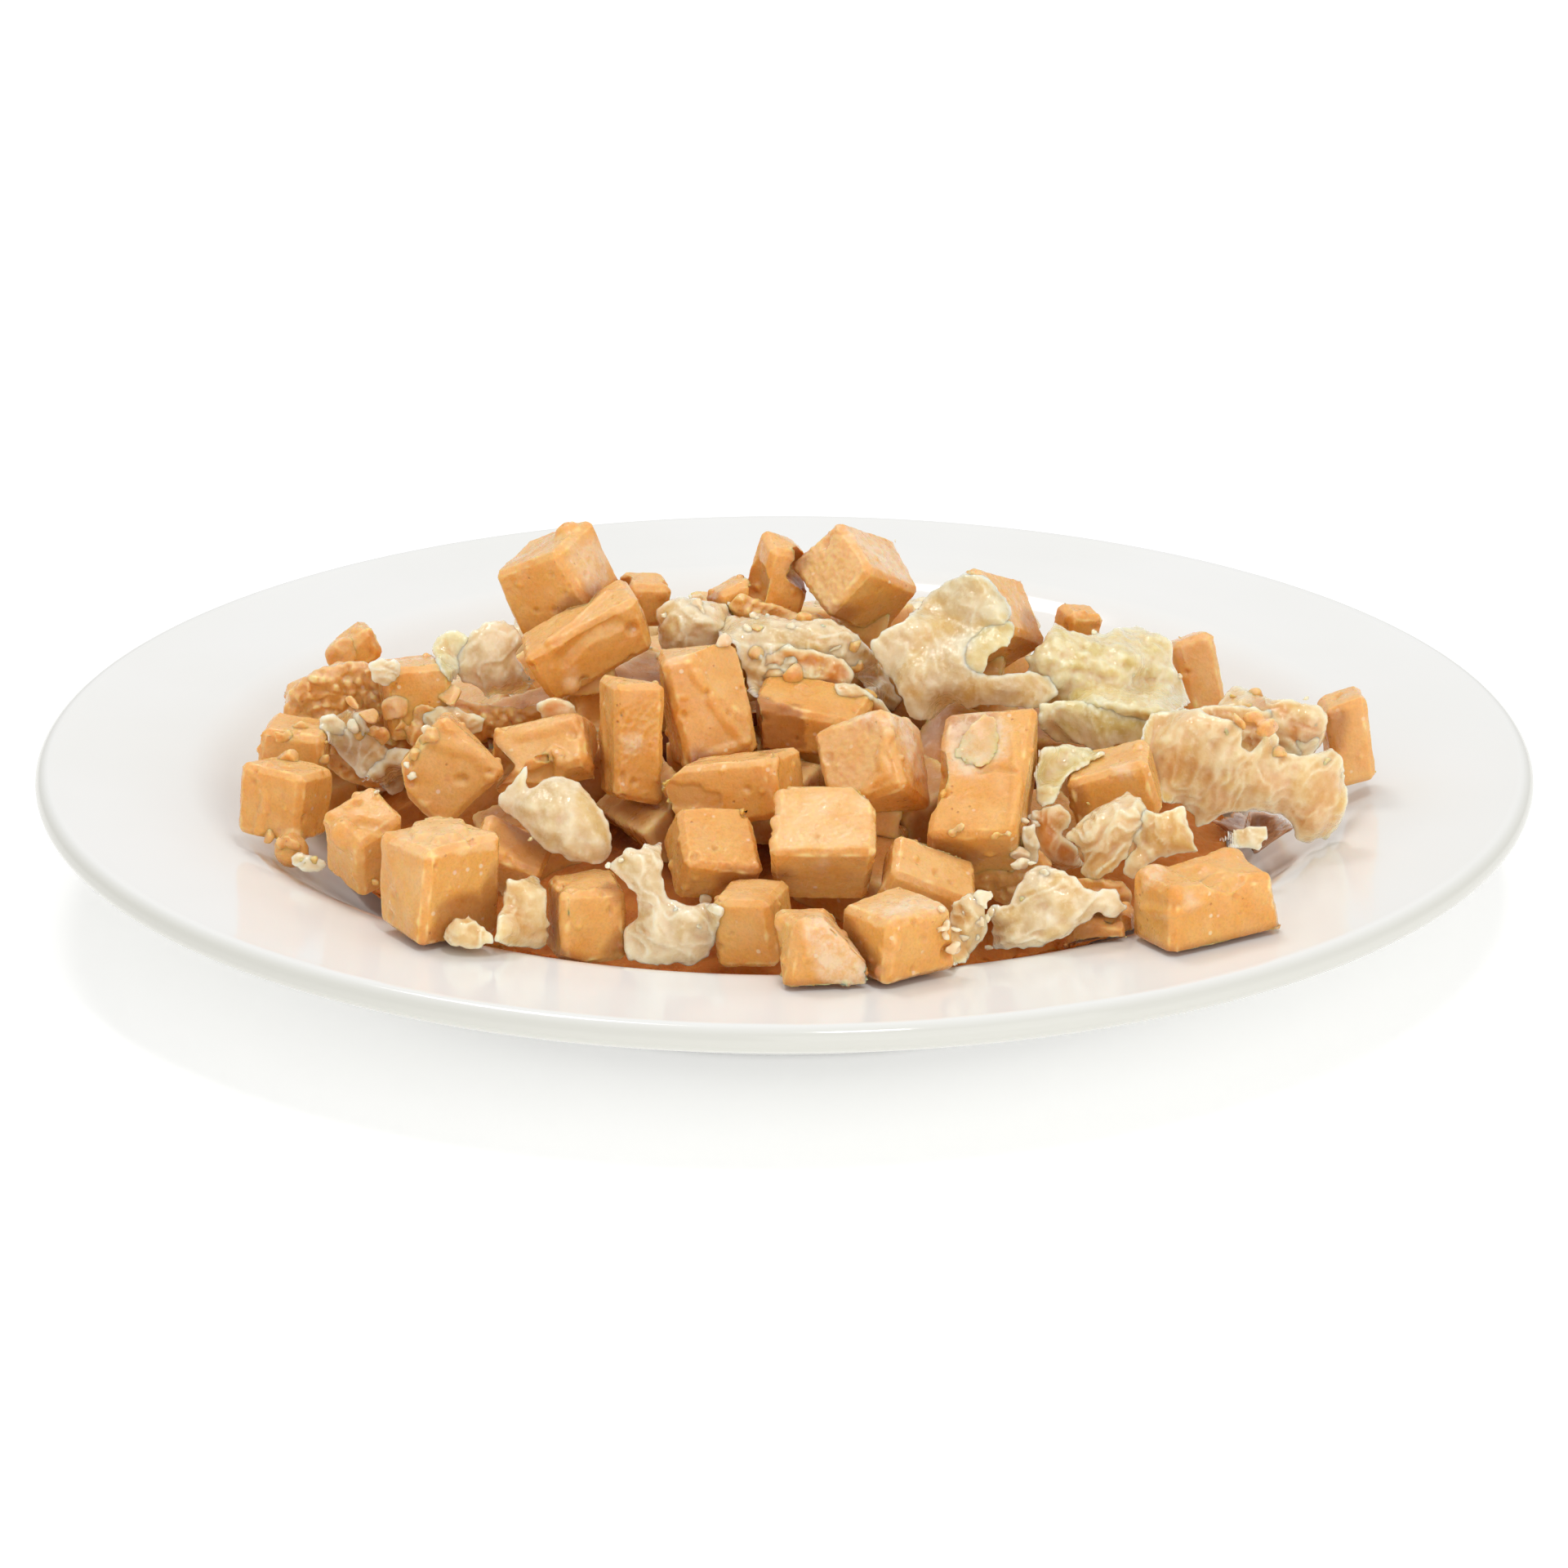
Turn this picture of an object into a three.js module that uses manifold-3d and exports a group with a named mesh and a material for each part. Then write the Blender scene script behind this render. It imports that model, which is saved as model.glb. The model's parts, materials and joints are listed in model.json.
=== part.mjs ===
// A dish of salmon ragout: a white round plate with a shallow well, heaped with medium dice of pressed salmon and torn
// flakes of pale cooked fish. Millimetres, +Z up, and the origin is under the plate's centre, on the table.
import * as THREE from "three";
import { ConvexGeometry } from "three/addons/geometries/ConvexGeometry.js";
import { mergeVertices } from "three/addons/utils/BufferGeometryUtils.js";
import Module from "manifold-3d";

const wasm = await Module();
wasm.setup();

// The plate
const plateRadius = 90;
const plateHeight = 19;
const lipThickness = 3.2;
const wellEdgeRadius = 70;
const wellEdgeHeight = 17.4;
const wallFootRadius = 57;
const floorHeight = 6.5;
const footRadius = 54;
const footWidth = 5;
const footHeight = 2.5;
const plateSegments = 56;

// The food
const clearance = 0.35; // between any two pieces, and under what lies on the plate
const edgeWear = 0.9; // how far a dice's edge is worn back
const cornerPlay = 0.05; // how far a corner strays, as a share of the dice
const flakeTear = 0.2; // how far a flake's surface strays, as a share of the flake

// The heap, as a low dome over an oval: dice lie in it all over, and on its back they are all there is to see
const heapAcross = 64;
const heapDeep = 60;
const heapCentreY = -6;
const heapEdgeHeight = 19;
const heapTopHeight = 36;
const buriedSpacing = 14.5;
const buriedSize = [9.5, 12.5];
const sunkInFront = 6; // how much deeper the dice lie where the pieces in front hide them
const sunkBehind = 5; // and down the back, away from the crest
const frontShare = 0.7; // how far out they go in front, as a share of the way to the edge
const moundDepth = 8; // how far under the dome the solid middle stays
const moundInset = 8; // and how far inside its edge

const porcelain = new THREE.MeshStandardMaterial({ color: 0xf4f4f0, roughness: 0.15 });
const salmon = new THREE.MeshStandardMaterial({ color: 0xe6a765, roughness: 0.5 });
const salmonInside = new THREE.MeshStandardMaterial({ color: 0xd98f4a, roughness: 0.55 });
const paleFish = new THREE.MeshStandardMaterial({ color: 0xefe4cd, roughness: 0.4 });

// Dice of salmon that show whole: centre, size across, deep and high, and turn as [towards the viewer, to the right, round].
// A chip is a flat cut off one, as a direction and how far out it lies; a scoop is a hollow bitten out, and a knob a lump
// left on, each as a centre and a radius. All are measured from the dice's own centre and along its own sides.
const dice = [
  { name: "front_right_of_centre", at: [12, -71, 22], size: [9.5, 9.5, 8.3], turn: [-3, -2, 38] },
  { name: "front_wedge", at: [5.2, -73, 21.6], size: [11.5, 7, 8.5], turn: [-5, 0, 10], chips: [[0.72, -0.1, 0.69, 2.2]] },
  { name: "front_right", at: [46.3, -61, 21.8], size: [14.5, 9.5, 9], turn: [3, 0, 30], scoops: [[0.5, -4, 7, 4]] },
  { name: "left_big", at: [-38.3, -59, 23.5], size: [11, 10.5, 12], turn: [-5, 3, 40] },
  { name: "left_end", at: [-57.3, -31.5, 23], size: [9.2, 8, 8.6], turn: [-4, 6, -30], knobs: [[3.6, -3.6, -4.6, 2.5]] },
  { name: "left_tall", at: [-47.2, -46, 23.2], size: [7.5, 7.8, 9.8], turn: [22, 0, 38] },
  { name: "front_centre", at: [4.5, -52.5, 25.6], size: [11.5, 10.5, 9.8], turn: [28, 0, -3], chips: [[0.72, 0.66, 0.2, 6.4], [-0.8, 0.6, 0, 6.6]] },
  { name: "front_tipped", at: [-7.9, -52, 24], size: [9.6, 9.5, 7], turn: [28, 12, 8], chips: [[0.75, 0.66, 0, 5.2]] },
  { name: "leaning_long", at: [22.2, -44.5, 28], size: [11.5, 18.5, 10.5], turn: [34, -4, -8], scoops: [[-9.6, -1, 3, 6.4]] },
  { name: "left_leaning", at: [-38.5, -35, 27.8], size: [9.8, 8, 10.2], turn: [-16, 42, 0], chips: [[-0.6, 0, -0.8, 5.2]] },
  { name: "middle_post", at: [-17.5, -33.5, 31], size: [6.8, 8, 14], turn: [-10, 0, 16] },
  { name: "middle_tall", at: [-8.9, -27.5, 32.9], size: [9.8, 8.5, 14], turn: [-16, -10, 12], chips: [[0.42, -0.86, 0.3, 4.6]] },
  { name: "middle_long", at: [-6.2, -40, 27.4], size: [15, 10, 8], turn: [-12, -8, -16], chips: [[-0.6, 0, 0.8, 5.6], [-0.85, -0.3, -0.4, 7]] },
  { name: "middle_right", at: [10, -38, 29.2], size: [9, 10.5, 10.5], turn: [35, 60, 15] },
  { name: "left_low", at: [-31.3, -50.5, 23], size: [9, 7, 6.5], turn: [26, 28, -10] },
  { name: "front_left", at: [-22, -57.5, 18.8], size: [8.6, 9, 9.2], turn: [-4, 2, 14] },
  { name: "front_slab", at: [16, -55.5, 22], size: [10.5, 7.5, 6], turn: [24, 24, -6] },
  { name: "front_shaded", at: [-3.5, -61, 19.5], size: [7.5, 8, 9], turn: [0, -6, -18] },
  { name: "left_slab", at: [-27.5, -31, 28.4], size: [12, 8.5, 6], turn: [38, -16, 6], scoops: [[0, -5.5, 3, 3]] },
  { name: "right_middle", at: [37.4, -39, 27.5], size: [10, 8, 8], turn: [2, -18, -6] },
  { name: "right_low", at: [35.2, -58.5, 17.8], size: [7.5, 7, 5.5], turn: [5, 0, -15] },
  { name: "top_right", at: [8.7, -7, 41.6], size: [11.5, 10, 9], turn: [8, 41, 36] },
  { name: "top_left", at: [-26.7, -6, 41.2], size: [11.3, 10, 9.8], turn: [-6, -26, -30], knobs: [[2.8, 2, 4, 2.2]] },
  { name: "top_left_long", at: [-23.2, -15.5, 36.6], size: [15, 8, 7.6], turn: [5, -25, 18] },
  { name: "top_far_right", at: [23.6, -12.5, 38], size: [11.5, 9.5, 9], turn: [16, 48, 36] },
  { name: "top_shard", at: [-0.5, -5, 40.7], size: [7, 6, 10.5], turn: [0, 14, 15], scoops: [[-5.8, -1, -1, 4]], chips: [[0.6, 0, 0.8, 4.6]] },
  { name: "top_chip", at: [-5.8, -6.5, 38.3], size: [6, 5.5, 6.2], turn: [0, -20, 30] },
  { name: "top_left_behind", at: [-16.6, -4, 38], size: [6.2, 6, 6.5], turn: [0, 8, 10] },
  { name: "back_shaded", at: [3.4, -25, 30.8], size: [13.5, 9, 6.8], turn: [12, 4, -14] },
  { name: "right_upright", at: [49.8, 3, 25.8], size: [5.6, 7, 10.6], turn: [-10, -14, 12] },
  { name: "right_end", at: [66.4, -13.5, 23.9], size: [6.2, 7.5, 11], turn: [-4, -10, 4] },
  { name: "right_knob", at: [34.8, -7, 36], size: [5.3, 5, 4.6], turn: [0, 15, 20] },
  { name: "left_back_knob", at: [-52, 7, 28], size: [5.6, 6, 4.6], turn: [10, -30, 20] },
  { name: "left_back_broken", at: [-55, -8, 27.3], size: [9, 7, 5.6], turn: [5, -24, 10] },
  { name: "left_end_broken", at: [-57, -21, 25.8], size: [8.5, 7, 6], turn: [6, 6, -10] },
  { name: "left_back_block", at: [-43, -17, 30.2], size: [8.7, 8, 9.4], turn: [-5, -4, 12], chips: [[0.75, 0, 0.66, 5]] },
];

// Torn flakes of pale fish. Each is one or more lumps that run into each other, placed as the dice are.
const flakes = [
  { name: "left_front", lumps: [
    { at: [-24.8, -49.5, 26.7], size: [12.8, 8, 10.8], turn: [0, 18, 0] },
    { at: [-30, -48.5, 30.6], size: [7.5, 2.8, 3.4], turn: [0, -48, 0] },
  ] },
  { name: "left_bottom", lumps: [
    { at: [-29, -60, 20.6], size: [7, 5.5, 9.5], turn: [0, 0, 0] },
    { at: [-33.5, -63.8, 20], size: [10, 6, 4.8], turn: [0, 0, 0] },
  ] },
  { name: "front", lumps: [
    { at: [-12.5, -60.5, 18.3], size: [12, 7, 8.4], turn: [0, 0, 0] },
    { at: [-14.8, -59.8, 23.6], size: [7.8, 4.6, 9], turn: [0, -25, 0] },
  ] },
  { name: "front_right", lumps: [
    { at: [28.5, -60, 20.6], size: [15, 7, 9], turn: [0, -12, 0] },
    { at: [35, -60.5, 22], size: [6.5, 4, 4.5], turn: [0, -10, 0] },
  ] },
  { name: "right_folded", lumps: [
    { at: [36.2, -51, 26.8], size: [11.4, 5.5, 5], turn: [0, -30, 0] },
    { at: [42.6, -50.5, 25.4], size: [7.6, 5.5, 10], turn: [0, -6, 0] },
    { at: [38, -52, 22.4], size: [10, 5.5, 6.5], turn: [0, -20, 0] },
  ] },
  { name: "right_inner", lumps: [
    { at: [32, -34, 28], size: [8, 5.5, 9], turn: [0, 0, 0] },
    { at: [30.5, -44, 23.5], size: [8, 5, 10], turn: [0, 0, 0] },
  ] },
  { name: "right_sheet", lumps: [
    { at: [48, -33, 28.3], size: [12.5, 7, 14.5], turn: [0, 14, 0] },
    { at: [54, -32.5, 27.5], size: [13, 6, 9], turn: [0, 14, 0] },
    { at: [60, -31.5, 23.8], size: [9.5, 7, 11], turn: [0, 10, 0] },
  ] },
  { name: "right_back", lumps: [
    { at: [59.4, -19.5, 26.8], size: [10.5, 7, 9], turn: [0, 10, 0] },
    { at: [54.4, -13, 27], size: [8, 8, 6.5], turn: [0, 0, 0] },
  ] },
  { name: "right_top", lumps: [
    { at: [34.5, -15.5, 33.3], size: [14, 9, 11.5], turn: [0, 8, 0] },
    { at: [43.5, -10, 32], size: [10, 8, 10], turn: [0, 0, 0] },
  ] },
  { name: "right_top_low", lumps: [{ at: [39, -24.5, 29.5], size: [14, 6, 9], turn: [0, 0, 0] }] },
  { name: "top_sheet", lumps: [
    { at: [15.5, -18, 36.5], size: [11, 6, 9], turn: [0, 20, 0] },
    { at: [15.3, -22.5, 32], size: [5.5, 4, 10], turn: [0, 8, 0] },
    { at: [23, -22, 35], size: [12, 5, 9], turn: [0, -20, 0] },
  ] },
  { name: "top_middle", lumps: [
    { at: [2, -15, 36.5], size: [20, 7, 6.5], turn: [0, 5, 0] },
    { at: [-1, -18.5, 34], size: [9, 5, 6], turn: [0, 0, 0] },
  ] },
  { name: "top_left", lumps: [{ at: [-11.5, -10.5, 36], size: [10, 8, 9], turn: [0, 0, 0] }] },
  { name: "left_top", lumps: [{ at: [-35.6, -12, 33.2], size: [8.4, 6, 10.6], turn: [0, 20, 0] }] },
  { name: "left_inner", lumps: [
    { at: [-45, -31.5, 27], size: [6.5, 4.5, 7.5], turn: [0, 0, 0] },
    { at: [-48.5, -20, 29], size: [6.5, 5, 8.5], turn: [0, 10, 0] },
  ] },
  { name: "on_leaning_long", lumps: [{ at: [20.8, -41.5, 35], size: [6.4, 4, 7.4], turn: [-40, 10, 0] }] },
  { name: "front_shreds", lumps: [{ at: [20, -63.5, 20.8], size: [5, 4.5, 9.5], turn: [0, 20, 0] }] },
  { name: "back_left", lumps: [
    { at: [-22, 24, 24.5], size: [14, 11, 8], turn: [-25, 10, 20] },
    { at: [-30, 22, 23.5], size: [9, 8, 7], turn: [-20, 0, 0] },
  ] },
  { name: "back_right", lumps: [
    { at: [19, 26, 24], size: [15, 10, 8], turn: [-30, 0, -10] },
    { at: [27, 22, 24.5], size: [9, 8, 8], turn: [-20, 0, 0] },
  ] },
  { name: "right_curl", lumps: [{ at: [52.5, -44, 21.8], size: [6.5, 3, 3.6], turn: [0, -25, 0] }] },
  { name: "left_end_bottom", lumps: [{ at: [-53.8, -41.5, 19.3], size: [6, 3.5, 3], turn: [0, 0, 0] }] },
];

// A draw of numbers from 0 to 1 that is the same each time for one seed.
function drawFrom(seed) {
  let state = seed * 7919 + 17;
  return () => {
    state = (state * 16807) % 2147483647;
    return state / 2147483647;
  };
}

function placement({ at, turn }) {
  const angles = turn.map(THREE.MathUtils.degToRad);
  return new THREE.Matrix4()
    .makeRotationFromEuler(new THREE.Euler(...angles, "XYZ"))
    .setPosition(...at);
}

function solidOf(geometry) {
  const bare = geometry.clone();
  bare.deleteAttribute("normal");
  bare.deleteAttribute("uv");
  const merged = mergeVertices(bare, 1e-4);
  return new wasm.Manifold(
    new wasm.Mesh({
      numProp: 3,
      vertProperties: new Float32Array(merged.attributes.position.array),
      triVerts: new Uint32Array(merged.index.array),
    }),
  );
}

function ballSolid([x, y, z, r], grow, matrix) {
  const ball = new THREE.IcosahedronGeometry(r + grow, 1).translate(x, y, z);
  return solidOf(ball.applyMatrix4(matrix));
}

// The plate in section, from the axis under its floor, round the lip and back to the axis on its floor. Raised, its upper
// side is that much higher, which is what keeps the food clear of it.
function plateProfile(raise = 0) {
  const lip = lipThickness / 2;
  const lipRadius = plateRadius - lip;
  const lipHeight = plateHeight - lip;
  const under = new THREE.Path();
  under.moveTo(0, footHeight);
  under.lineTo(footRadius - footWidth, footHeight);
  under.lineTo(footRadius - footWidth + 0.8, 0);
  under.lineTo(footRadius - 0.8, 0);
  under.lineTo(footRadius, footHeight);
  under.quadraticCurveTo(footRadius + 4.5, footHeight + 1.1, footRadius + 10, footHeight + 6.1);
  under.quadraticCurveTo(wellEdgeRadius, 13.6, lipRadius, lipHeight - lip);
  const upper = new THREE.Path();
  upper.absarc(lipRadius, lipHeight, lip + raise, -Math.PI / 2, Math.PI / 2, false);
  upper.lineTo(wellEdgeRadius + 2.4, wellEdgeHeight + 0.2 + raise);
  upper.quadraticCurveTo(wellEdgeRadius - 0.2, wellEdgeHeight + raise, wellEdgeRadius - 3, wellEdgeHeight - 2 + raise);
  upper.lineTo(wallFootRadius + 1.5, floorHeight + 2.6 + raise);
  upper.quadraticCurveTo(wallFootRadius - 2, floorHeight + raise, wallFootRadius - 7, floorHeight + raise);
  upper.lineTo(0, floorHeight + raise);
  return [...under.getPoints(2), ...upper.getPoints(3).slice(raise ? 0 : 1)];
}

function plateGeometry(raise) {
  return new THREE.LatheGeometry(plateProfile(raise), plateSegments).rotateX(Math.PI / 2);
}

// A dice: a box with worn edges and corners that stray, then chipped, scooped and lumped. Grown, it is that much larger all
// round and its edges aren't worn, which is what its neighbours keep clear of.
function diceSolid({ size, at, turn, chips = [], scoops = [], knobs = [] }, seed, grow = 0) {
  const draw = drawFrom(seed);
  const points = [];
  for (let c = 0; c < 8; c += 1) {
    const side = [c & 1 ? 1 : -1, c & 2 ? 1 : -1, c & 4 ? 1 : -1];
    const corner = side.map((s, k) => s * (size[k] / 2 + grow) + (draw() - 0.5) * 2 * cornerPlay * size[k]);
    if (grow > 0) points.push(new THREE.Vector3(...corner));
    else {
      side.forEach((_, axis) => {
        points.push(new THREE.Vector3(...corner.map((v, k) => (k === axis ? v : v - side[k] * edgeWear))));
      });
    }
  }
  const matrix = placement({ at, turn });
  let solid = solidOf(new ConvexGeometry(points).applyMatrix4(matrix));
  chips.forEach(([x, y, z, out]) => {
    const away = new THREE.Vector3(x, y, z).normalize();
    const waste = new THREE.BoxGeometry(60, 60, 60)
      .translate(0, 0, 30 + out + grow)
      .applyQuaternion(new THREE.Quaternion().setFromUnitVectors(new THREE.Vector3(0, 0, 1), away));
    solid = solid.subtract(solidOf(waste.applyMatrix4(matrix)));
  });
  if (grow === 0) {
    scoops.forEach((scoop) => {
      solid = solid.subtract(ballSolid(scoop, 0, matrix));
    });
  }
  knobs.forEach((knob) => {
    solid = solid.add(ballSolid(knob, grow, matrix));
  });
  return solid;
}

// A flake's lump: between a ball and a box, torn by a few waves of different length.
function lumpGeometry({ size, at, turn }, seed, grow = 0) {
  const draw = drawFrom(seed);
  const waves = Array.from({ length: 6 }, (_, n) => ({
    along: new THREE.Vector3(draw() - 0.5, draw() - 0.5, draw() - 0.5).normalize().multiplyScalar(3 + n * 1.1),
    phase: draw() * Math.PI * 2,
    high: flakeTear / (1 + n * 0.35),
  }));
  const lump = new THREE.IcosahedronGeometry(1, Math.max(...size) > 13.5 ? 2 : 1);
  const p = lump.attributes.position;
  const v = new THREE.Vector3();
  for (let i = 0; i < p.count; i += 1) {
    v.fromBufferAttribute(p, i);
    const boxy = Math.pow(v.x ** 4 + v.y ** 4 + v.z ** 4, -0.25);
    const torn = waves.reduce((sum, w) => sum + w.high * Math.sin(w.along.dot(v) + w.phase), 0);
    const out = v.clone().multiplyScalar(grow);
    v.multiplyScalar((boxy * 0.85 + 0.1) * (1 + torn * 0.6));
    p.setXYZ(i, (v.x * size[0]) / 2 + out.x, (v.y * size[1]) / 2 + out.y, (v.z * size[2]) / 2 + out.z);
  }
  return lump.applyMatrix4(placement({ at, turn }));
}

function flakeSolid({ lumps }, seed, grow = 0) {
  return lumps.map((lump, n) => solidOf(lumpGeometry(lump, seed + n, grow))).reduce((all, one) => all.add(one));
}

function heapHeight(share) {
  return heapEdgeHeight + (heapTopHeight - heapEdgeHeight) * (1 - share ** 1.6);
}

// The solid middle of the heap, under the dome and down to the plate's floor.
function moundSolid() {
  const profile = [new THREE.Vector2(0, floorHeight)];
  for (let n = 8; n >= 0; n -= 1) {
    const share = n / 8;
    profile.push(new THREE.Vector2(share, heapHeight(share) - moundDepth));
  }
  profile.splice(1, 0, new THREE.Vector2(1, floorHeight));
  const mound = new THREE.LatheGeometry(profile, 28).rotateX(Math.PI / 2);
  return solidOf(mound.scale(heapAcross - moundInset, heapDeep - moundInset, 1).translate(0, heapCentreY, 0));
}

// The dice that lie in the heap: one near each point of a skewed grid, turned any way, and sunk where others hide them.
function buriedDice() {
  const draw = drawFrom(7);
  const found = [];
  for (let row = -6; row <= 6; row += 1) {
    for (let column = -7; column <= 7; column += 1) {
      const x = (column + (row % 2) / 2) * buriedSpacing + (draw() - 0.5) * 4;
      const y = heapCentreY + row * buriedSpacing * 0.87 + (draw() - 0.5) * 4;
      const share = Math.hypot(x / (heapAcross - 5), (y - heapCentreY) / (heapDeep - 5));
      const size = [0, 0, 0].map(() => THREE.MathUtils.lerp(...buriedSize, draw()));
      const turn = [draw() * 60 - 30, draw() * 60 - 30, draw() * 90];
      if (share > (y < -4 ? frontShare : 1)) continue;
      const sunk = y < -4 ? sunkInFront : sunkBehind * THREE.MathUtils.smoothstep(share, 0.15, 0.45);
      found.push({ at: [x, y, heapHeight(share) - size[2] * 0.4 - sunk], size, turn });
    }
  }
  return found;
}

function largest(solid) {
  return solid.decompose().reduce((best, one) => (one.volume() > best.volume() ? one : best));
}

function meshOf(name, solid, material) {
  const { vertProperties, triVerts, numProp } = solid.getMesh();
  const geometry = new THREE.BufferGeometry();
  const position = new THREE.BufferAttribute(new Float32Array(vertProperties), numProp);
  geometry.setAttribute("position", position);
  geometry.setIndex(new THREE.BufferAttribute(new Uint32Array(triVerts), 1));
  geometry.computeVertexNormals();
  const mesh = new THREE.Mesh(geometry, material);
  mesh.name = name;
  return mesh;
}

const dish = new THREE.Group();
dish.add(meshOf("plate", solidOf(plateGeometry(0)), porcelain));

// Each piece is cut clear of the plate and of the pieces before it, so the ones in front stay whole.
const taken = [solidOf(plateGeometry(clearance))];
function place(name, solid, grown, material) {
  const clear = taken.reduce((rest, other) => rest.subtract(other), solid);
  dish.add(meshOf(name, largest(clear), material));
  taken.push(grown);
}

dice.forEach((piece, n) => {
  place(`salmon_${piece.name}`, diceSolid(piece, n + 1), diceSolid(piece, n + 1, clearance), salmon);
});
flakes.forEach((piece, n) => {
  const seed = 101 + n * 10;
  place(`flake_${piece.name}`, flakeSolid(piece, seed), flakeSolid(piece, seed, clearance), paleFish);
});

const heap = buriedDice()
  .map((piece) => solidOf(new THREE.BoxGeometry(...piece.size).applyMatrix4(placement(piece))))
  .reduce((all, one) => all.add(one), moundSolid());
place("salmon_heap", heap, heap, salmonInside);

export default dish;
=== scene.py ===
import json
import math
import random

import bpy
import numpy as np
from mathutils import Matrix, Vector, noise
from mathutils.bvhtree import BVHTree

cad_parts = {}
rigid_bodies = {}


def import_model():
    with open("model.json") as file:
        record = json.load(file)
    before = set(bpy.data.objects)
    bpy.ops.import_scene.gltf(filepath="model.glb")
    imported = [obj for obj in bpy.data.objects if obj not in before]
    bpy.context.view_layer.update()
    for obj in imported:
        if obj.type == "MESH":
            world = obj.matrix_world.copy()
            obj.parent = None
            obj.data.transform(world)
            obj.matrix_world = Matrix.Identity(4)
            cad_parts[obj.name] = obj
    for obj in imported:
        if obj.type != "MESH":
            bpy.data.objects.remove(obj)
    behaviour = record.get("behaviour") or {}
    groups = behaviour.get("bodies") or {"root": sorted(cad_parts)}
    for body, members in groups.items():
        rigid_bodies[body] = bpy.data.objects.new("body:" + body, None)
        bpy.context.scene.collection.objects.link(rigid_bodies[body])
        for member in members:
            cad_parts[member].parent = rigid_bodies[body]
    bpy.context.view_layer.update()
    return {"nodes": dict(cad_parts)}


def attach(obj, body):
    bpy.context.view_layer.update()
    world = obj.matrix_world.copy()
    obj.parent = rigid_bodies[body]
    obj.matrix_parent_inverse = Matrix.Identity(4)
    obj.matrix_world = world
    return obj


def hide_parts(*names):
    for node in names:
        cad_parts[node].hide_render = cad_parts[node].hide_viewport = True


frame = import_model()
bpy.ops.object.select_all(action="DESELECT")
mm = 0.001

# camera, first, because some pieces are placed where it sees them
cameraLook = {
    "aim": (-0.05 * mm, 0.0, 13.07 * mm),
    "distance": 650 * mm,
    "elevation": 20.5,
    "lens": 122.93,
    "sensor": 36,
    "clip": (0.01, 20),
    "pictureSide": 1920,
    "pointsPerMm": 10,
}
tilt = math.radians(cameraLook["elevation"])
ahead = (0, math.cos(tilt), -math.sin(tilt))
upward = (0, math.sin(tilt), math.cos(tilt))
pictureMiddle = cameraLook["pictureSide"] / 2
pointWidth = cameraLook["sensor"] / cameraLook["lens"] / cameraLook["pictureSide"]
pointsPerMm = cameraLook["pointsPerMm"]


def addCamera(look):
    place = Vector(look["aim"]) - Vector(ahead) * look["distance"]
    bpy.ops.object.camera_add(location=place, rotation=(math.pi / 2 - tilt, 0, 0))
    camera = bpy.context.object
    camera.name = "dishCamera"
    camera.data.lens = look["lens"]
    camera.data.sensor_width = look["sensor"]
    camera.data.clip_start, camera.data.clip_end = look["clip"]
    camera.data.dof.use_dof = False
    bpy.context.scene.camera = camera
    return camera


camera = addCamera(cameraLook)
eye = np.array(camera.location)
bpy.context.scene.view_settings.view_transform = "Standard"


def sightLine(px, py):
    # the way from the camera through a point of the 1920 x 1920 picture
    aside = Vector((1, 0, 0)) * (px - pictureMiddle) * pointWidth
    return (Vector(ahead) + aside - Vector(upward) * (py - pictureMiddle) * pointWidth).normalized()


def waysThrough(spots):
    # the same for many picture points, one row each
    away = (np.asarray(spots, float) - pictureMiddle) * pointWidth
    ways = np.array(ahead) + np.outer(away[:, 0], (1, 0, 0)) - np.outer(away[:, 1], upward)
    return ways / np.linalg.norm(ways, axis=1)[:, None]


def picturePoints(spots):
    # where points of the dish show in the picture
    away = spots - eye
    deep = away @ np.array(ahead)
    rise = away @ np.array(upward)
    return np.stack([pictureMiddle + away[:, 0] / deep / pointWidth, pictureMiddle - rise / deep / pointWidth], 1)


print("camera set")


# making and shaping pieces
def only(piece):
    bpy.ops.object.select_all(action="DESELECT")
    piece.select_set(True)
    bpy.context.view_layer.objects.active = piece


def apply(piece, kind, **values):
    modifier = piece.modifiers.new(kind.lower(), kind)
    for key, value in values.items():
        setattr(modifier, key, value)
    only(piece)
    bpy.ops.object.modifier_apply(modifier=modifier.name)


def rebuilt(piece, voxel, rounds):
    # one closed skin of small even faces, smoothed that many times
    apply(piece, "REMESH", mode="VOXEL", voxel_size=voxel)
    smoothed(piece, rounds)


def smoothed(piece, rounds):
    apply(piece, "SMOOTH", factor=0.5, iterations=rounds)


def waved(piece, wave, detail=2, level=0.5, **limits):
    # moves the surface in and out in soft random waves of a size and a height
    size, height = wave
    texture = bpy.data.textures.new("waves", "CLOUDS")
    texture.noise_scale = size
    texture.noise_depth = detail
    apply(piece, "DISPLACE", texture=texture, strength=height, mid_level=level, texture_coords="LOCAL", **limits)


def shrunk(piece, depth):
    apply(piece, "DISPLACE", strength=-depth, mid_level=0.0)


def edited(piece, *steps):
    only(piece)
    bpy.ops.object.mode_set(mode="EDIT")
    bpy.ops.mesh.select_all(action="SELECT")
    for step, values in steps:
        step(**values)
    bpy.ops.object.mode_set(mode="OBJECT")


def joined(pieces, name):
    only(pieces[0])
    for piece in pieces:
        piece.select_set(True)
    bpy.ops.object.join()
    pieces[0].name = name
    return pieces[0]


def placed(mesh, name):
    piece = bpy.data.objects.new(name, mesh)
    bpy.context.scene.collection.objects.link(piece)
    return piece


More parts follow.
